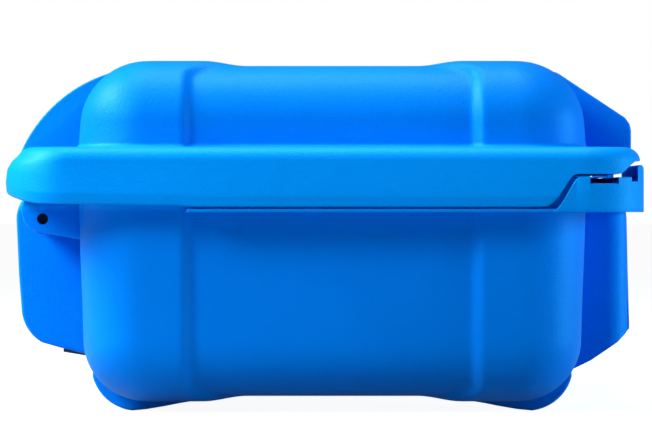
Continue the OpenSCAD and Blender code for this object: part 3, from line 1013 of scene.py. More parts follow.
@dataclass
class Moulding:
    """What the base's and the lid's mouldings share."""

    sizes: CaseSizes
    shop: Workshop

    def lines(self) -> PlanLines:
        """Lines close together where steps and notches need them.

        Returns:
            The plan lines for both mouldings.
        """
        notch = 0.05
        edges = np.array([self.sizes.bay, self.sizes.barrel + 0.8, 58.0, 72.0])
        along = np.concatenate([np.arange(0.0, 55.0, 5.0), np.arange(56.6, 77.0, 0.8),
                                edges - notch, edges + notch])
        across = np.concatenate([[0.0, 6.0, 12.0, 18.0], np.arange(21.8, 42.0, 0.8)])
        return PlanLines(across, np.unique(along), pad=20, corner=8)

    def cavity(self, angle: Array, end_z: float, sign: float) -> Array:
        """Rings over the rounding inside a shell.

        Args:
            angle: degrees turned over, 90 at the flat end.
            end_z: height of the flat end.
            sign: 1 where the flat end is below, -1 where it is above.

        Returns:
            The rings.
        """
        s = self.sizes
        radius = s.base_round - 1.0
        turn = np.radians(angle)
        inset = radius * (1 - np.cos(turn))
        z = end_z + sign * radius * (1 - np.sin(turn))
        return rows(s.inner_x - inset, s.inner_y - inset, shrinking(s.corner - s.wall, inset), z, s.shift)

    def tub(self, inset: Array, z: Array, turn: Array, sink: float) -> Array:
        """Rings on the outside of a tub, with its panels.

        Args:
            inset: how far the rings have moved in.
            z: their heights.
            turn: degrees turned over.
            sink: how far the panels are sunk on the level surface.

        Returns:
            The rings.
        """
        s = self.sizes
        angle = np.radians(turn)
        return rows(s.tub_x - inset, s.tub_y - inset, shrinking(s.corner, inset), z, s.shift,
                    s.panel * np.cos(angle), sink * np.sin(angle), turn)

    def rim(self, inset: Array, z: Array) -> Array:
        """Rings on the rim's outline, moved in by inset."""
        s = self.sizes
        return rows(s.half_length - inset, s.half_width - inset, s.rim_corner - np.asarray(inset), z)


def parting_rise(sizes: CaseSizes, y: Array, low: float, high: float) -> Array:
    """Height of the stepped parting line: low behind, and high once Y has passed 10 mm further forward.

    The rise is the smooth cubic of the distance to the power 1.55, so it starts gently and ends steeply.

    Args:
        sizes: the case's sizes.
        y: places along the rim.
        low, high: the two heights.

    Returns:
        The height at each place.
    """
    start = sizes.front + 29.2
    distance = np.clip((start - y) / 10.1, 0.0, 1.0)
    return low + (high - low) * smooth_rise(distance ** 1.55)


@dataclass
class LidShell(Moulding):
    """The lid: tub, wide band, skirt, latch guards, rear fins, knuckles and catch bar."""

    def build(self) -> None:
        """Makes every part of the lid's moulding."""
        self._main()
        self._guards()
        self._fins()
        self._knuckles()
        self._catch()

    def _under(self, y: Array) -> Array:
        """Lowest height that the lid's rim may have at Y, so that it clears the base's front block.

        Args:
            y: places along the rim.

        Returns:
            The height at each place.
        """
        s = self.sizes
        rise = parting_rise(s, y, s.skirt_z, s.lid_z)
        return rise + 3.6 * smooth_rise((s.front + 7.4 - y) / 5.6)

    def _skirt_edge(self, y: Array) -> Array:
        """Height of the skirt's lower edge, which rises a little towards the hinge and more at its corner.

        Args:
            y: places along the rim.

        Returns:
            The height at each place.
        """
        s = self.sizes
        slow = 0.5 * smooth_rise((y - 34.0) / 6.0) + 0.5 * np.clip((y - 40.0) / 33.0, 0.0, 1.0)
        return s.skirt_z + slow + 3.1 * np.clip((y - 74.0) / 12.4, 0.0, 1.0) ** 2.2

    def _main(self) -> None:
        """The tub with its band: rings from the roof inside, over the rim, to the top outside."""
        s = self.sizes
        lines = self.lines()
        roof = s.height - 2.0 - s.wall
        groove = ((99.4, 64.9, 13.0), (103.6, 69.1, 16.0))
        groove_roof = s.lid_z + 3.6
        seal = [rows(*groove[side], z, -0.8) for side, z in (
            (0, s.lid_z), (0, groove_roof), (1, groove_roof), (1, s.lid_z))]
        inner = np.concatenate([
            self.cavity(np.linspace(90, 0, 13), roof, -1.0),
            rows(s.inner_x, s.inner_y, s.corner - s.wall, s.lid_z + 0.4, s.shift),
            rows(s.inner_x + 0.4, s.inner_y + 0.4, s.corner - s.wall, s.lid_z, s.shift), *seal,
            rows(105.4, 79.0, 16.0, s.lid_z), rows(107.0, 81.8, 15.6, s.lid_z),
            self.rim(s.skirt_wall, s.lid_z)])
        skirt_inset = np.array([s.skirt_wall, s.skirt_wall - 0.4, 0.95, 0.5])
        skirt_rise = np.array([0.4, 0.0, 0.0, 0.35])
        skirt = self.rim(skirt_inset, s.skirt_z + skirt_rise)
        crease = self.rim(np.array([0.02, 0.0, 0.05]), np.array([2.6, 3.1, 3.7]) + s.skirt_z)
        fillet = np.radians(np.linspace(0, 90, 11))
        band_inset = np.concatenate([[0.45, 0.85], 0.95 + 4.2 * (1 - np.cos(fillet))])
        band_rise = np.concatenate([[-8.5, -5.0], -4.0 * (1 - np.sin(fillet))])
        band = self.rim(band_inset, s.band_z + band_rise)
        foot = np.radians(np.linspace(90, 0, 5))
        root = self.tub(-1.3 * (1 - np.cos(foot)), s.band_z + 1.3 * (1 - np.sin(foot)), np.zeros(5), 0.0)
        turn = np.linspace(0, 90, 22)
        z = s.height - s.lid_round * (1 - np.sin(np.radians(turn)))
        draft = 0.06 * (z - s.band_z)
        over = self.tub(draft + s.lid_round * (1 - np.cos(np.radians(turn))), z, turn, s.lid_sink)
        table = np.concatenate([inner, skirt, crease, band, root, over])
        rings = lines.stack(table)
        first_rim, last_rim = len(inner) - 3, len(inner) + len(skirt) + len(crease) + len(band)
        self._fit_rim(rings, len(inner), first_rim, last_rim, len(skirt))
        holes = both_ends(upright_rod(*s.padlock, s.lid_z - 5, s.band_z + 5))
        self.shop.piece("lid_shell_moulding", lines.loft(rings, lines.cap(table[0]), lines.cap(table[-1])),
                        "lid", "shell_plastic", ("lid_shell",), crease=32.0, drills=(holes,))

    def _fit_rim(self, rings: Array, inner: int, first: int, last: int, skirt: int) -> None:
        """Cuts the rim's rings back for the latch bay and the barrel, and lifts them off the front block.

        Args:
            rings: points of the whole lid by ring and line, changed in place.
            inner: number of rings on the inside.
            first, last: the rings from the underside of the rim to its top.
            skirt: number of rings on the skirt.
        """
        s = self.sizes
        rim = rings[first:last]
        x, y = rim[..., 0], rim[..., 1]
        y[...] = np.where(np.abs(x) < s.bay, np.maximum(y, s.bay_y), y)
        y[...] = np.where(np.abs(x) < s.barrel + 0.8, np.minimum(y, 72.5), y)
        edge = self._skirt_edge(y) - s.skirt_z
        lift = edge.copy()
        lift[:inner - first] = 0.0
        skirt_start = inner - first
        band_start = skirt_start + skirt
        height = rim[..., 2]
        share = np.clip((s.band_z - 3.5 - height[band_start:]) / 12.0, 0.0, 1.0)
        lift[band_start:] *= np.minimum(share * 1.6, 1.0)
        hair = 0.002 * np.arange(len(rim))[:, None]
        cut = np.maximum(height + lift, self._under(y) + hair)
        corner = np.array([s.half_length - s.rim_corner, s.half_width - s.rim_corner])
        plan = rim[skirt_start:, :, :2]
        outward = plan - np.clip(plan, -corner, corner)
        outward /= np.maximum(np.linalg.norm(outward, axis=-1), 1e-6)[..., None]
        pull = np.clip(self._lean(cut[skirt_start:]) - self._lean(height[skirt_start:]), 0.0, None)
        pull[np.abs(x[skirt_start:]) < s.bay] = 0.0
        plan -= outward * pull[..., None]
        rim[..., 2] = cut
        slope = smooth_rise((height[band_start:] - s.band_z + 5.4) / 3.6)
        y[band_start:] -= 2.4 * slope * smooth_rise((y[band_start:] - 62.0) / 22.0)

    def _lean(self, z: Array) -> Array:
        """How far the band's face has leant in at height z, from its crease up to its top fillet.

        Args:
            z: heights.

        Returns:
            The lean at each height.
        """
        crease = self.sizes.skirt_z + 3.4
        return np.interp(z, [crease, crease + 4.4, self.sizes.band_z - 5.0, self.sizes.band_z - 3.4],
                         [0.0, 0.45, 0.85, 1.5])

    def _guards(self) -> None:
        """Two flat fins beside the latch, from the top of the lid down to the rim's front edge."""
        s = self.sizes
        outline = np.array([
            [s.front + 1.4, s.band_z - 3], [s.front + 21.0, s.band_z - 3], [s.front + 21.2, 80],
            [s.front + 24.1, 86], [s.front + 28.4, 91.6], [s.front + 24.2, 93.5], [s.front + 21.4, 93.9],
            [s.front + 20.4, 93.4],
            [s.front + 1.7, 81.0], [s.front + 0.4, 79.2], [s.front + 0.02, 77.4], [s.front + 0.02, s.band_z],
            [s.front + 0.1, s.band_z - 2]])
        fin = prism(outline[::-1] if turns_clockwise(outline) else outline, s.bay, s.bay + 10)
        self.shop.piece("lid_latch_guards", both_ends(fin), "lid", "shell_plastic", bevel=0.6)

    def _fins(self) -> None:
        """Two curved fins above the hinge: an arc from the band to the lid's top."""
        s = self.sizes
        curve = through((s.half_width - 1.9, s.band_z - 1), (s.half_width - 11.6, 84.6), (58.9, 93.4))
        inside = np.array([[54.6, 90.8], [58.0, 86], [61.0, 80], [61.2, s.band_z - 3], [84.0, s.band_z - 3]])
        fin = prism(np.concatenate([curve, inside]), 50.0, 58.0)
        self.shop.piece("lid_rear_fins", both_ends(fin), "lid", "shell_plastic", bevel=0.5)

    def _knuckles(self) -> None:
        """The lid's half of each hinge: a barrel round the pin with a web up to the rim."""
        s = self.sizes
        y, z = s.hinge
        outline = np.concatenate([
            arc(y, z, 4.4, 152, 360 + 14, 20),
            [[y + 3.9, z + 6], [y + 4.6, s.lid_z + 1.0], [y - 4.4, s.lid_z + 1.0], [y - 3.9, z + 6]]])
        knuckle = prism(outline, 58.4, 71.6)
        pin = rod_along_x(57.0, 73.0, s.hinge, 1.56)
        self.shop.piece("lid_hinge_knuckles", both_ends(knuckle), "lid", "shell_plastic", bevel=0.4,
                        drills=(both_ends(pin),))

    def _catch(self) -> None:
        """The bar on the rim's front edge that the claw hooks over."""
        s = self.sizes
        outline = np.array([
            [s.front + 20.4, s.band_z - 1], [s.front + 20.4, s.band_z + 4.2], [s.front + 16.4, s.band_z + 5],
            [s.front + 11.4, s.band_z + 5], [s.front + 10.9, s.band_z + 4.5],
            [s.front + 10.9, s.band_z + 1.4],
            [s.bay_y, s.band_z - 2]])
        bar = prism(outline[::-1] if turns_clockwise(outline) else outline, -19.6, 19.6)
        self.shop.piece("lid_catch_bar", bar, "lid", "shell_plastic", bevel=0.35)


def turns_clockwise(outline: Array) -> bool:
    """Whether an outline in Y and Z runs clockwise: the sum of its edges' cross products is negative.

    Args:
        outline: its points.

    Returns:
        True for clockwise.
    """
    y, z = np.asarray(outline, float).T
    return float(np.sum(y * np.roll(z, -1) - z * np.roll(y, -1))) < 0.0


def upright_rod(x: float, y: float, radius: float, z0: float, z1: float) -> Shape:
    """A closed round rod along Z.

    Args:
        x, y: the axis.
        radius: its radius.
        z0, z1: its ends.

    Returns:
        The rod.
    """
    angle = np.linspace(0, 2 * math.pi, 48, endpoint=False)
    ring = np.column_stack([x + radius * np.cos(angle), y + radius * np.sin(angle)])
    points = np.concatenate([np.column_stack([ring, np.full(48, z)]) for z in (z0, z1)])
    index = np.arange(96).reshape(2, 48)
    return points, grid_faces(index, loop_v=True, flip=True) + [tuple(range(48))[::-1], tuple(range(48, 96))]


def rod_along_x(x0: float, x1: float, centre: tuple[float, float], radius: float) -> Shape:
    """A closed round rod along X."""
    return prism(arc(centre[0], centre[1], radius, 0, 360, 40)[:-1], x0, x1)


@dataclass
class BaseShell(Moulding):
    """The base: tub, rim, front block, latch guards, hinge lugs, barrel block and feet."""

    def build(self) -> None:
        """Makes every part of the base's moulding."""
        self._main()
        self._front_block()
        self._guards()
        self._lugs()
        self._barrel()
        self._feet()
        self._valve_boss()

    def _main(self) -> None:
        """The tub with its rim: rings from the floor inside, over the rim, to the bottom outside."""
        s = self.sizes
        lines = self.lines()
        floor = s.foot + s.base_sink + s.wall
        bead = np.array([0.0, 0.12, 0.3, 0.3, 0.12, 0.0])
        bead_x = 101.5 + np.array([-0.7, -0.5, -0.25, 0.25, 0.5, 0.7])
        inner = np.concatenate([
            self.cavity(np.linspace(90, 0, 13), floor, 1.0),
            rows(s.inner_x, s.inner_y, s.corner - s.wall, s.seal_z - 0.4, s.shift),
            rows(s.inner_x + 0.4, s.inner_y + 0.4, s.corner - s.wall, s.seal_z, s.shift),
            rows(bead_x, bead_x - 34.5, 14.0, s.seal_z + bead, -0.8)])
        flange_x = s.half_length - 2.8
        rim_x = flange_x - np.array([0.5, 0.15, 0.0, 0.0, 0.0, 0.0])
        rim_z = np.array([0.0, -0.15, -0.5, -8.3, -8.6, -9.4]) + s.seal_z
        rim = rows(rim_x, rim_x - 28.45, 14.0, rim_z, -0.75)
        root_turn = np.radians(np.linspace(90, 0, 5))
        root = self.tub(np.cos(root_turn) - 1, s.flange_z - 1 + np.sin(root_turn), np.zeros(5), 0.0)
        lean = self.tub(np.array([0.4, 0.9]), np.array([43.0, 30.0]), np.zeros(2), 0.0)
        turn = np.linspace(0, 90, 22)
        angle = np.radians(turn)
        under_inset = 1.2 + s.base_round * (1 - np.cos(angle))
        under = self.tub(under_inset, s.foot + s.base_round * (1 - np.sin(angle)), turn, s.base_sink)
        table = np.concatenate([inner, rim, root, lean, under])
        rings = lines.stack(table)
        edge = rings[len(inner):len(inner) + len(rim)]
        x, y = edge[..., 0], edge[..., 1]
        y[...] = np.maximum(y, s.bay_y)
        knuckle = (np.abs(x) > 58.0) & (np.abs(x) < 72.0)
        y[...] = np.where(knuckle, np.minimum(y, s.hinge[0] - 5.0), y)
        lip = np.zeros_like(x)
        lip[-2:] = 2.5
        window = (y > s.front + 20.0) & (y < 37.0) & (np.abs(x) > 90.0)
        x[...] += np.sign(x) * np.where(window, lip, 0.0)
        shoulder = rings[len(inner) + 3:len(inner) + len(rim) + len(root)]
        rear = smooth_rise((shoulder[..., 1] - 37.0) / 1.6)
        shoulder[..., 2] = np.maximum(shoulder[..., 2], s.flange_z + 2.6 * rear)
        shape = lines.loft(rings, lines.cap(table[0]), lines.cap(table[-1]), upward=False)
        self.shop.piece("base_shell_moulding", shape, "base", "shell_plastic", ("base_shell",), crease=32.0)

    def _front_block(self) -> None:
        """The front of the rim: a bar with a channel, a drip groove and a lip, and a strip at each end."""
        s = self.sizes
        top = s.seal_z
        channel = refined([[s.bay_y, top - 1.7], [s.front + 7.6, top - 1.7], [s.front + 7.6, top],
                           [s.front + 3.9, top]], 0.7)
        lip = refined([[s.front + 3.9, top], [s.front + 3.9, top - 1.1], [s.front + 2.1, top - 1.1],
                       [s.front + 2.1, top + 2.7], [s.front + 1.5, top + 3.3], [s.front + 0.8, top + 3.3],
                       [s.front + 0.15, top + 2.5], [s.front + 0.02, top + 1.5]], 0.35)
        y = np.concatenate([channel[:, 0], lip[1:, 0]])
        floor = np.concatenate([channel[:, 1], lip[1:, 1]])
        level = np.concatenate([np.full(len(channel), top), lip[1:, 1]])
        hole = upright_rod(*s.padlock, s.flange_z - 3, top + 5)
        x = np.array([92.0, 80.0, 60.0, 48.0, 47.95, 40.0, s.bay])[:, None] + np.zeros(len(y))
        heights = np.where(x > 47.99, floor[::-1], level[::-1])
        bar = slab(x[::-1], np.broadcast_to(y[::-1], x.shape), heights[::-1], np.full(x.shape, s.flange_z))
        self.shop.piece("base_front_bar", both_ends(bar), "base", "shell_plastic", crease=32.0,
                        drills=(both_ends(hole),))
        y_strip = np.linspace(s.front + 15.42, s.front + 25.2, 30)
        strip_top = parting_rise(s, y_strip + 1.0, s.flange_z, top + 0.4) - 0.4
        strip_top = np.clip(strip_top, s.flange_z + 0.15, top - 0.02)
        y_all = np.concatenate([y_strip[::-1], y])
        top_all = np.concatenate([strip_top[::-1], floor])
        start = np.concatenate([np.full(len(y_strip), 106.4), np.full(len(y), 91.0)])
        side = np.clip(np.abs(y_all) - (s.half_width - s.rim_corner), 0.0, s.rim_corner)
        reach = s.half_length - s.rim_corner + np.sqrt(s.rim_corner ** 2 - side ** 2)
        share = np.concatenate([np.linspace(0, 0.9, 6), [0.97, 1.0]])
        x = (start + share[:, None] * (reach - start))[:, ::-1]
        edge = np.array([0.0] * 7 + [0.25])[:, None]
        heights = np.maximum(np.broadcast_to(top_all[::-1], x.shape) - edge, s.flange_z + 0.1)
        end = slab(x, np.broadcast_to(y_all[::-1], x.shape), heights, np.full(x.shape, s.flange_z))
        self.shop.piece("base_front_ends", both_ends(end), "base", "shell_plastic", crease=32.0)

    def _guards(self) -> None:
        """Two guards beside the latch: upright in front, curved in below, with a round outer edge."""
        s = self.sizes
        under = refined([[s.front + 22.0, 8.0], [s.front + 15.9, 10.6], [s.front + 11.4, 12.8],
                         [s.front + 6.4, 16.2], [s.front + 3.9, 17.9], [s.front + 2.0, 19.8],
                         [s.front + 0.4, 21.6]], 0.6)
        y = under[:, 0]
        lean = np.clip((s.front + 1.3 - y) / 0.9, 0.0, 1.0)
        top = s.flange_z + 2.0 - lean * (s.flange_z + 2.0 - 23.0)
        round_in = np.clip((s.front + 6.9 - y) / 6.05, 0.0, 1.0)
        outer = s.bay + 12.0 - 6.0 * (1 - np.sqrt(1 - 0.97 * round_in ** 2))
        share = np.array([0.0, 0.03, 0.5, 0.97, 1.0])
        x = s.bay + share[:, None] * (outer - s.bay)
        y, top, bottom = (np.broadcast_to(v, x.shape)[:, ::-1] for v in (y, top, under[:, 1]))
        guard = slab(x[:, ::-1], y, top, bottom)
        self.shop.piece("base_latch_guards", both_ends(guard), "base", "shell_plastic", crease=40.0)

    def _lugs(self) -> None:
        """Base lugs of the hinge: round over the pin, with a web that slopes down to the wall."""
        s = self.sizes
        y, z = s.hinge
        web = np.array([[61.5, z - 6.2], [66.4, z - 5.7], [y + 1.2, z - 3.6]])
        nose = np.array([[y + 3.6, z - 2.6], [y + 5.0, z - 0.9], [y + 5.7, z + 1.2], [y + 6.0, z + 3.4],
                         [y + 5.0, z + 4.8], [y + 3.0, z + 5.6], [61.5, z + 5.6]])
        outline = np.concatenate([web, nose])
        pin = rod_along_x(40.0, 90.0, s.hinge, 1.53)
        lugs = joined(prism(outline, 50.0, 58.0), prism(outline, 72.0, 80.0))
        self.shop.piece("base_hinge_lugs", both_ends(lugs), "base", "shell_plastic", bevel=0.45,
                        drills=(both_ends(pin),))

    def _barrel(self) -> None:
        """The block behind the rear wall, rounded over the hinge axis, that the case can stand on."""
        s = self.sizes
        y, z = s.hinge
        outline = np.concatenate([
            [[59.4, 14.8], [62.5, 13.7], [67.9, 14.9], [74.3, 16.5]],
            through((79.2, 17.9), (83.0, 21.5), (84.8, 26.5), 10), [[85.6, 36.9]],
            arc(y, z, 9.3, -2, 100, 16), [[61.5, s.seal_z - 3], [61.5, 20]]])
        block = prism(outline, -s.barrel, s.barrel)
        self.shop.piece("base_barrel_block", block, "base", "shell_plastic", bevel=0.9)

    def _feet(self) -> None:
        """Four feet that run along X under the corner pads, flat underneath and sloped inside."""
        s = self.sizes
        outer = through((65.8, 9.4), (62.0, 3.2), (54.9, 0.0), 10)
        half = np.concatenate([[[60.5, 11.8], [65.6, 12.0]], outer,
                               [[50.8, 0.4], [46.0, 1.2], [42.0, 2.0], [36.0, 3.0], [33.5, 6.2],
                                 [50.0, 6.6]]])
        feet = []
        for side in (-1.0, 1.0):
            outline = np.column_stack([s.shift + side * half[:, 0], half[:, 1]])
            outline = outline[::-1] if turns_clockwise(outline) else outline
            feet.append(prism(outline, 40.0, 76.0))
        self.shop.piece("base_feet", both_ends(joined(*feet)), "base", "shell_plastic", bevel=0.8)

    def _valve_boss(self) -> None:
        """The round boss on the front wall that the pressure valve seats on."""
        low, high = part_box("valve_seal")
        centre = ((low.x + high.x) / 2 / MM, (low.z + high.z) / 2 / MM)
        seat = high.y / MM
        profile = np.array([
            [0.0, seat + 4], [9.5, seat + 4], [9.5, seat + 0.5], [9.0, seat], [5.1, seat], [5.1, seat + 1],
            [0.0, seat + 1]])
        self.shop.piece("base_valve_boss", turned_disc(profile, centre), "base", "shell_plastic")


# ---------------------------------------------------------------- latch, hinge, seal


@dataclass
class Latch:
    """The two-part draw latch: lever, claw and torsion springs."""

    sizes: CaseSizes
    shop: Workshop
    open_angle: float = 14.0
    throw: float = 11.0

    def build(self) -> None:
        """Makes the lever, the claw and the springs."""
        self._lever()
        self._claw()
        self._springs()

    def _as_drawn(self, shape: Shape) -> Shape:
        """Turns a shape that is drawn for the closed latch about the pivot to the slightly open pose.

        Args:
            shape: the shape of the closed latch.

        Returns:
            The turned shape.
        """
        y, z = self.sizes.pivot
        angle = math.radians(-self.open_angle)
        points = shape[0].copy()
        dy, dz = points[:, 1] - y, points[:, 2] - z
        points[:, 1] = y + dy * math.cos(angle) - dz * math.sin(angle)
        points[:, 2] = z + dy * math.sin(angle) + dz * math.cos(angle)
        return points, shape[1]

    def _face(self, z: float) -> float:
        """Y of the lever's outer face, which leans back by 2 in 9."""
        return self.sizes.front + 2.2 + (self.sizes.pivot[1] + 1.8 - z) * 2 / 9

    @staticmethod
    def _rib(root: float, crest: float, level: float, half_length: float) -> Shape:
        """A grip rib along X, wider at its root than at its crest.

        Args:
            root, crest: Y of its root and of its crest.
            level: height of its middle.
            half_length: half its length along X.

        Returns:
            The rib.
        """
        outline = [[crest, level - 0.3], [crest, level + 0.3], [root, level + 0.7], [root, level - 0.7]]
        return prism(np.array(outline), -half_length, half_length)

    def _lever(self) -> None:
        """Two cheeks that carry the pins, and a wide paddle with a finger lip and three grip ribs."""
        y, z = self.sizes.pivot
        claw = (y + 0.9, z - self.throw)
        split, foot = claw[1] - 4.7, z - 34.2
        cheek = np.concatenate([
            arc(y, z, 4.6, -20, 190, 16),
            [[self._face(split + 1), split + 1], [self._face(split - 5), split - 5],
             [self._face(split - 5) + 4, split - 5]],
            arc(claw[0], claw[1], 3.2, -60, 10, 5)])
        cheek = cheek if not turns_clockwise(cheek) else cheek[::-1]
        bores = joined(rod_along_x(15.0, 30.0, (y, z), 1.66), rod_along_x(15.0, 30.0, claw, 1.23))
        cheeks = self._as_drawn(both_ends(prism(cheek, 19.5, 24.5)))
        self.shop.piece("latch_lever_cheeks", cheeks, "lever", "latch_plastic", bevel=0.4,
                        drills=(self._as_drawn(both_ends(bores)),))
        paddle = np.array([
            [self._face(split), split], [self._face(foot + 2), foot + 2],
            [self._face(foot) - 0.2, foot + 0.4],
            [self._face(foot) + 0.9, foot - 0.8], [self._face(foot) + 2.3, foot - 0.2],
            [self._face(foot + 3) + 2.6, foot + 3], [self._face(split) + 2.6, split]])
        ribs = [self._rib(self._face(level) + 0.3, self._face(level) - 0.35, level, 16.0)
                for level in (foot + 4, foot + 6.4, foot + 8.8)]
        body = prism(paddle, -32.5, 32.5)
        self.shop.piece("latch_lever_paddle", self._as_drawn(joined(body, *ribs)), "lever", "latch_plastic",
                        ("latch_lever",), bevel=0.25)

    def _claw(self) -> None:
        """The claw: an upright plate with a hook above and a barrel round its pin below."""
        s = self.sizes
        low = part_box("latch_claw")[0]
        centre_z = low.z / MM + 2.2
        angle = math.radians(self.open_angle)
        centre_y = s.pivot[0] + 0.9 * math.cos(angle) - self.throw * math.sin(angle)
        back, out = centre_y + 1.2, centre_y - 1.6
        hook = centre_z + s.band_z + 5.3 - (s.pivot[1] - self.throw)
        outline = np.concatenate([
            arc(centre_y, centre_z, 2.2, 130, 395, 18),
            [[back, centre_z + 3], [back, hook], [back + 3.1, hook], [back + 3.1, hook + 2.1],
             [back - 1.0, hook + 3.0], [out + 0.4, hook + 2.2], [out, hook + 1.2]]])
        outline = outline[::-1] if turns_clockwise(outline) else outline
        ribs = [self._rib(out + 0.2, out - 0.4, hook - gap - 0.7, 13.0) for gap in (3.0, 5.6, 8.2)]
        bore = rod_along_x(-25.0, 25.0, (centre_y, centre_z), 1.26)
        plate = joined(prism(outline, -19.0, 19.0), *ribs)
        self.shop.piece("latch_claw_plate", plate, "claw", "latch_plastic", ("latch_claw",), bevel=0.3,
                        drills=(bore,))

    def _springs(self) -> None:
        """Torsion springs: a helix of radius r and pitch p round the pivot, with a leg at its first end."""
        for side, node in ((1.0, "right_latch_spring"), (-1.0, "left_latch_spring")):
            low, high = (np.array(v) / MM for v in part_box(node))
            centre = (low + high) / 2
            wire = 0.55
            radius = (high[2] - low[2]) / 2 - wire
            x0, x1 = np.sort(np.abs([low[0], high[0]])) + [wire, -wire]
            turns = 6.75
            angle = np.linspace(0, 2 * math.pi * turns, int(turns * 28))
            x = x0 + (x1 - x0) * angle / angle[-1]
            coil = np.column_stack([
                x, centre[1] + radius * np.cos(angle), centre[2] + radius * np.sin(angle)])
            leg = np.linspace(1, 0.1, 6)[:, None] * [0.0, 0.0, -4.5]
            path = np.concatenate([coil[0] + leg, coil])
            shape = tube(path, wire)
            shape = mirrored(shape) if side < 0 else shape
            self.shop.piece(f"{node}_coil", shape, "base", "spring_steel", (node,), crease=60.0)


@dataclass
class Seal:
    """The gasket in the lid's groove."""

    shop: Workshop

    def build(self) -> None:
        """A profile carried round the plan: flat on top, round underneath with a soft crest."""
        low, high = (np.array(v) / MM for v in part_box("lid_gasket"))
        half = 2.0
        centre_x = high[0] - half
        middle = (low[1] + high[1]) / 2
        centre_y = (high[1] - low[1]) / 2 - half
        angle = np.radians(np.linspace(180, 360, 15))
        across = np.concatenate([half * np.cos(angle), [1.9, -1.9]])
        level = np.concatenate([low[2] + 1.6 + 1.6 * np.sin(angle), [high[2], high[2]]])
        table = rows(centre_x + across, centre_y + across, 14.0 + across, level, middle)
        lines = PlanLines(np.array([0.0]), np.array([0.0]), pad=12, corner=8)
        self.shop.piece("lid_gasket_ring", lines.ring_tube(lines.stack(table)), "lid", "gasket_rubber",
                        ("lid_gasket",), crease=50.0)


@dataclass
class PressureValve:
    """The pressure valve on the front wall."""

    shop: Workshop

    def build(self) -> None:
        """Turns the body and the cap, and cuts the cap's slots."""
        low, high = (np.array(v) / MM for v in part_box("valve_body"))
        centre = (float(low[0] + high[0]) / 2, float(low[2] + high[2]) / 2)
        face, back, radius = low[1], high[1], (high[0] - low[0]) / 2
        seat = face + 2.5
        body = np.array([
            [2.6, back], [5.0, back], [5.0, seat], [radius - 0.4, seat], [radius, seat - 0.4],
            [radius, face + 0.8], [radius - 0.7, face + 0.1], [6.6, face], [6.0, face + 0.4],
            [6.0, face + 1.5], [2.6, face + 1.5]])
        index_closed = np.concatenate([body, body[:1]])
        self.shop.piece("valve_body_turned", turned_disc(index_closed, centre), "base", "valve_plastic",
                        ("valve_body",))
        cap_low, cap_high = (np.array(v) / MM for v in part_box("valve_cap"))
        r, y0, y1 = (cap_high[0] - cap_low[0]) / 2, cap_low[1], cap_high[1]
        cap = np.array([[0.0, y1], [r, y1], [r, y0 + 0.7], [r - 0.6, y0 + 0.12], [r - 1.6, y0], [0.0, y0]])
        slots = []
        for angle in (0.0, 60.0, 120.0):
            turn = np.radians(angle)
            depths = (y0 - 1, y0 + 1.1)
            x, y, z = np.array([[x, y, z] for x in (-3.5, 3.5) for y in depths for z in (-0.45, 0.45)]).T
            turned = np.column_stack([centre[0] + x * np.cos(turn) - z * np.sin(turn), y,
                                      centre[1] + x * np.sin(turn) + z * np.cos(turn)])
            faces = [(0, 1, 3, 2), (4, 6, 7, 5), (0, 4, 5, 1), (2, 3, 7, 6), (0, 2, 6, 4), (1, 5, 7, 3)]
            slots.append((turned, faces))
        self.shop.piece("valve_cap_turned", turned_disc(cap, centre), "base", "valve_plastic", ("valve_cap",),
                        drills=tuple(slots))


# ---------------------------------------------------------------- foam


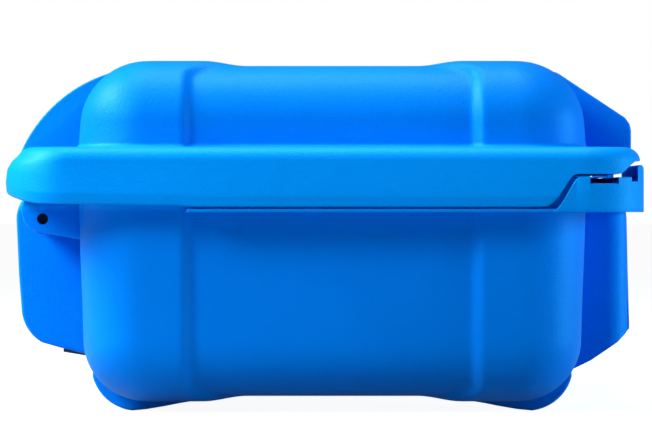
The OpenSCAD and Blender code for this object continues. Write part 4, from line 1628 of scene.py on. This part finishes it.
@dataclass
class FoamSet:
    """Foam inside the case: a frame with a pocket, a pad under it and a profiled sheet in the lid."""

    sizes: CaseSizes
    shop: Workshop

    def build(self) -> None:
        """Makes the three foam pieces."""
        self._frame()
        self._floor_pad()
        self._lid_sheet()

    def _frame(self) -> bpy.types.Object:
        """The block with its pocket: an outline ring over the edge, down the pocket and back underneath.

        Returns:
            The piece.
        """
        low, high = (np.array(v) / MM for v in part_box("base_foam"))
        hx, hy = high[0], (high[1] - low[1]) / 2
        middle, top, bottom = (high[1] + low[1]) / 2, high[2], low[2]
        edge = np.radians(np.linspace(0, 90, 5))
        drawn_in = 2.0 * (1 - np.cos(edge))
        outer = rows(hx - drawn_in, hy - drawn_in, 13.5, top - 2.0 * (1 - np.sin(edge)), middle)
        span = np.linspace(0, 1, 9)[1:-1]
        dip = 0.5 * np.sin(np.pi * span)
        pocket_x, pocket_y = 64.0, 42.0
        crown = rows(hx - 2 - span * (hx - 2 - pocket_x), hy - 2 - span * (hy - 2 - pocket_y),
                     13.5 - 8 * span, top - dip, middle)
        lip = rows(pocket_x - 2.0 * np.sin(edge), pocket_y - 2.0 * np.sin(edge), 5.0,
                   top - 2.0 * (1 - np.cos(edge)), middle)
        walls = rows(62.0, 40.0, 5.0, np.linspace(top - 4, bottom, 6), middle)
        base = rows(hx, hy, 13.5, np.linspace(bottom, top - 4, 5), middle)
        lines = PlanLines(np.array([0.0]), np.array([0.0]), pad=26, corner=6)
        rings = lines.stack(np.concatenate([base, outer, crown, lip, walls]))
        return self.shop.piece("base_foam_frame", lines.ring_tube(rings), "base", "foam", ("base_foam",),
                               crease=50.0)

    def _floor_pad(self) -> bpy.types.Object:
        """The pad on the floor, which follows the rounding inside the base.

        Returns:
            The piece.
        """
        s = self.sizes
        low, high = (np.array(v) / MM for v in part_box("base_pad"))
        turn = np.radians(np.linspace(90, 32, 8))
        inset = 0.4 + 16.0 * (1 - np.cos(turn))
        z = low[2] + 16.0 * (1 - np.sin(turn))
        edge = np.radians(np.linspace(0, 90, 5))
        side = inset[-1]
        bowl = rows(s.inner_x - inset, s.inner_y - inset, shrinking(15.0, inset), z, s.shift)
        drawn_in = side + 1.2 * (1 - np.cos(edge))
        rim = rows(s.inner_x - drawn_in, s.inner_y - drawn_in, 11.0,
                   high[2] - 1.2 * (1 - np.sin(edge)), s.shift)
        table = np.concatenate([bowl, rim])
        lines = PlanLines(np.array([0.0]), np.array([0.0]), pad=20, corner=6)
        shape = lines.loft(lines.stack(table), lines.cap(table[0]), lines.cap(table[-1]))
        return self.shop.piece("base_floor_pad", shape, "base", "foam", ("base_pad",), crease=50.0)

    def _lid_sheet(self) -> bpy.types.Object:
        """The lid's profiled foam: its underside is a product of cosines, in peaks and hollows 22 mm apart.

        Returns:
            The piece.
        """
        s = self.sizes
        low, high = (np.array(v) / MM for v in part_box("lid_foam"))
        side_z = np.array([low[2] + 3.2, low[2] + 5.0, 74.6])
        side = rows(s.inner_x - 0.6, s.inner_y - 0.6, 14.5, side_z, s.shift)
        turn = np.radians(np.linspace(0, 90, 9))
        inset = 0.6 + 16.0 * (1 - np.cos(turn))
        over = rows(s.inner_x - inset, s.inner_y - inset, shrinking(15.0, inset),
                    high[2] - 16.0 * (1 - np.sin(turn)), s.shift)
        table = np.concatenate([side, over])
        lines = PlanLines(np.array([0.0]), np.array([0.0]), pad=40, corner=5)
        peak, pitch = 3.0, 22.0

        def profile(x: Array, y: Array) -> Array:
            """Height of the underside, level at the edge and in waves 22 mm long inside.

            Args:
                x, y: places on the sheet.

            Returns:
                The height at each place.
            """
            wave = peak * np.cos(2 * np.pi * x / pitch) * np.cos(2 * np.pi * y / pitch)
            across = smooth_rise((s.inner_x - 1 - np.abs(x)) / 7.0)
            along = smooth_rise((s.inner_y - 1 - np.abs(y)) / 7.0)
            return low[2] + 3.2 + wave * across * along

        shape = lines.loft(lines.stack(table), lines.cap(table[0], profile), lines.cap(table[-1]))
        return self.shop.piece("lid_foam_sheet", shape, "lid", "foam", ("lid_foam",), crease=60.0)


# ---------------------------------------------------------------- studio


@dataclass(frozen=True)
class Studio:
    """Floor, soft lights, world and camera."""

    view_distance: float = 1.3105
    eye_height: float = 0.0564
    aim_y: float = -0.0005
    focal: float = 248.5
    sensor: float = 36.0
    tilt: float = 0.152

    def build(self) -> None:
        """Sets up everything that isn't the object."""
        self._world()
        self._floor()
        cool = (0.7, 0.94, 1.0)
        self._lamp("key", (-0.42, 0.5, 0.4), 0.24, 0.8, cool)
        self._lamp("side", (-0.05, 0.62, 0.6), 0.3, 1.4, cool)
        self._lamp("overhead", (0.0, 0.05, 0.9), 0.4, 0.65, cool)
        self._lamp("rim", (-0.1, -0.85, 0.12), 0.4, 1.05, (0.2, 0.85, 1.0))
        self._camera()
        bpy.context.scene.view_settings.view_transform = "Standard"

    @staticmethod
    def _world() -> None:
        """A white surround that lights the case only faintly."""
        sheet = NodeSheet("studio", world=True)
        sheet.feed(sheet.shader.inputs["Color"], sheet.mix(sheet.seen(), grey(WORLD_LIGHT), grey(1.0)))
        bpy.context.scene.world = sheet.owner

    @staticmethod
    def _floor() -> None:
        """A wide plain floor under the feet."""
        sheet = NodeSheet("studio_floor")
        sheet.shader.inputs["Base Color"].default_value = grey(0.3)
        sheet.shader.inputs["Roughness"].default_value = 0.8
        glow = sheet.mix(sheet.seen(), grey(WORLD_LIGHT), grey(FLOOR_SEEN))
        sheet.feed(sheet.shader.inputs["Emission Color"], glow)
        sheet.shader.inputs["Emission Strength"].default_value = 1.0
        mesh = bpy.data.meshes.new("floor")
        half = 12.0
        corners = [(-half, -half, 0.0), (half, -half, 0.0), (half, half, 0.0), (-half, half, 0.0)]
        mesh.from_pydata(corners, [], [(0, 1, 2, 3)])
        floor = bpy.data.objects.new("floor", mesh)
        floor.data.materials.append(sheet.owner)
        bpy.context.scene.collection.objects.link(floor)

    @staticmethod
    def _lamp(name: str, place: tuple[float, float, float], size: float, level: float,
              colour: tuple[float, float, float] = (1.0, 1.0, 1.0)) -> None:
        """A square soft light that points at the case.

        Its power is level times pi squared times distance squared.

        Args:
            name: its name.
            place: where it hangs, in metres.
            size: the side of the square, in metres.
            level: how bright a white face turned towards it becomes.
            colour: the light's colour.
        """
        lamp = bpy.data.lights.new(name, "AREA")
        holder = bpy.data.objects.new(name, lamp)
        offset = np.array(place) - [0.0, 0.0, AIM_HEIGHT]
        reach = float(np.linalg.norm(offset))
        lamp.size = size
        lamp.color = colour
        lamp.energy = level * math.pi ** 2 * reach ** 2
        turn = math.atan2(offset[1], offset[0]) + math.pi / 2
        holder.rotation_euler = (math.acos(offset[2] / reach), 0.0, turn)
        holder.location = place
        bpy.context.scene.collection.objects.link(holder)

    def _camera(self) -> None:
        """A long lens level with the case's end, looking along +X."""
        camera = bpy.data.cameras.new("camera")
        camera.lens = self.focal
        camera.sensor_width = self.sensor
        camera.clip_end = 60.0
        holder = bpy.data.objects.new("camera", camera)
        holder.location = (-self.view_distance, self.aim_y, self.eye_height)
        holder.rotation_euler = (math.radians(90.0 - self.tilt), 0.0, math.radians(-90.0))
        bpy.context.scene.collection.objects.link(holder)
        bpy.context.scene.camera = holder


# ---------------------------------------------------------------- the case


def main() -> None:
    """Loads the frame, builds every part of the case and the studio round it."""
    logging.basicConfig(level=logging.INFO, format="%(name)s: %(message)s")
    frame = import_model()
    sizes = CaseSizes.from_frame(frame["record"])
    finishes = Finishes()
    finishes.build()
    shop = Workshop(finishes)
    Studio().build()
    BaseShell(sizes, shop).build()
    LidShell(sizes, shop).build()
    Latch(sizes, shop).build()
    Seal(shop).build()
    PressureValve(shop).build()
    FoamSet(sizes, shop).build()
    kept = {"left_hinge_pin": "pin_steel", "right_hinge_pin": "pin_steel", "left_latch_pivot": "pin_steel",
            "right_latch_pivot": "pin_steel", "claw_pin": "pin_steel", "left_rear_pad": "pad_rubber",
            "right_rear_pad": "pad_rubber", "valve_seal": "gasket_rubber", "valve_membrane": "membrane",
            "valve_nut": "valve_plastic"}
    for node, slot in kept.items():
        finishes.dress_frame_node(node, slot)


if __name__ == "__main__":
    main()
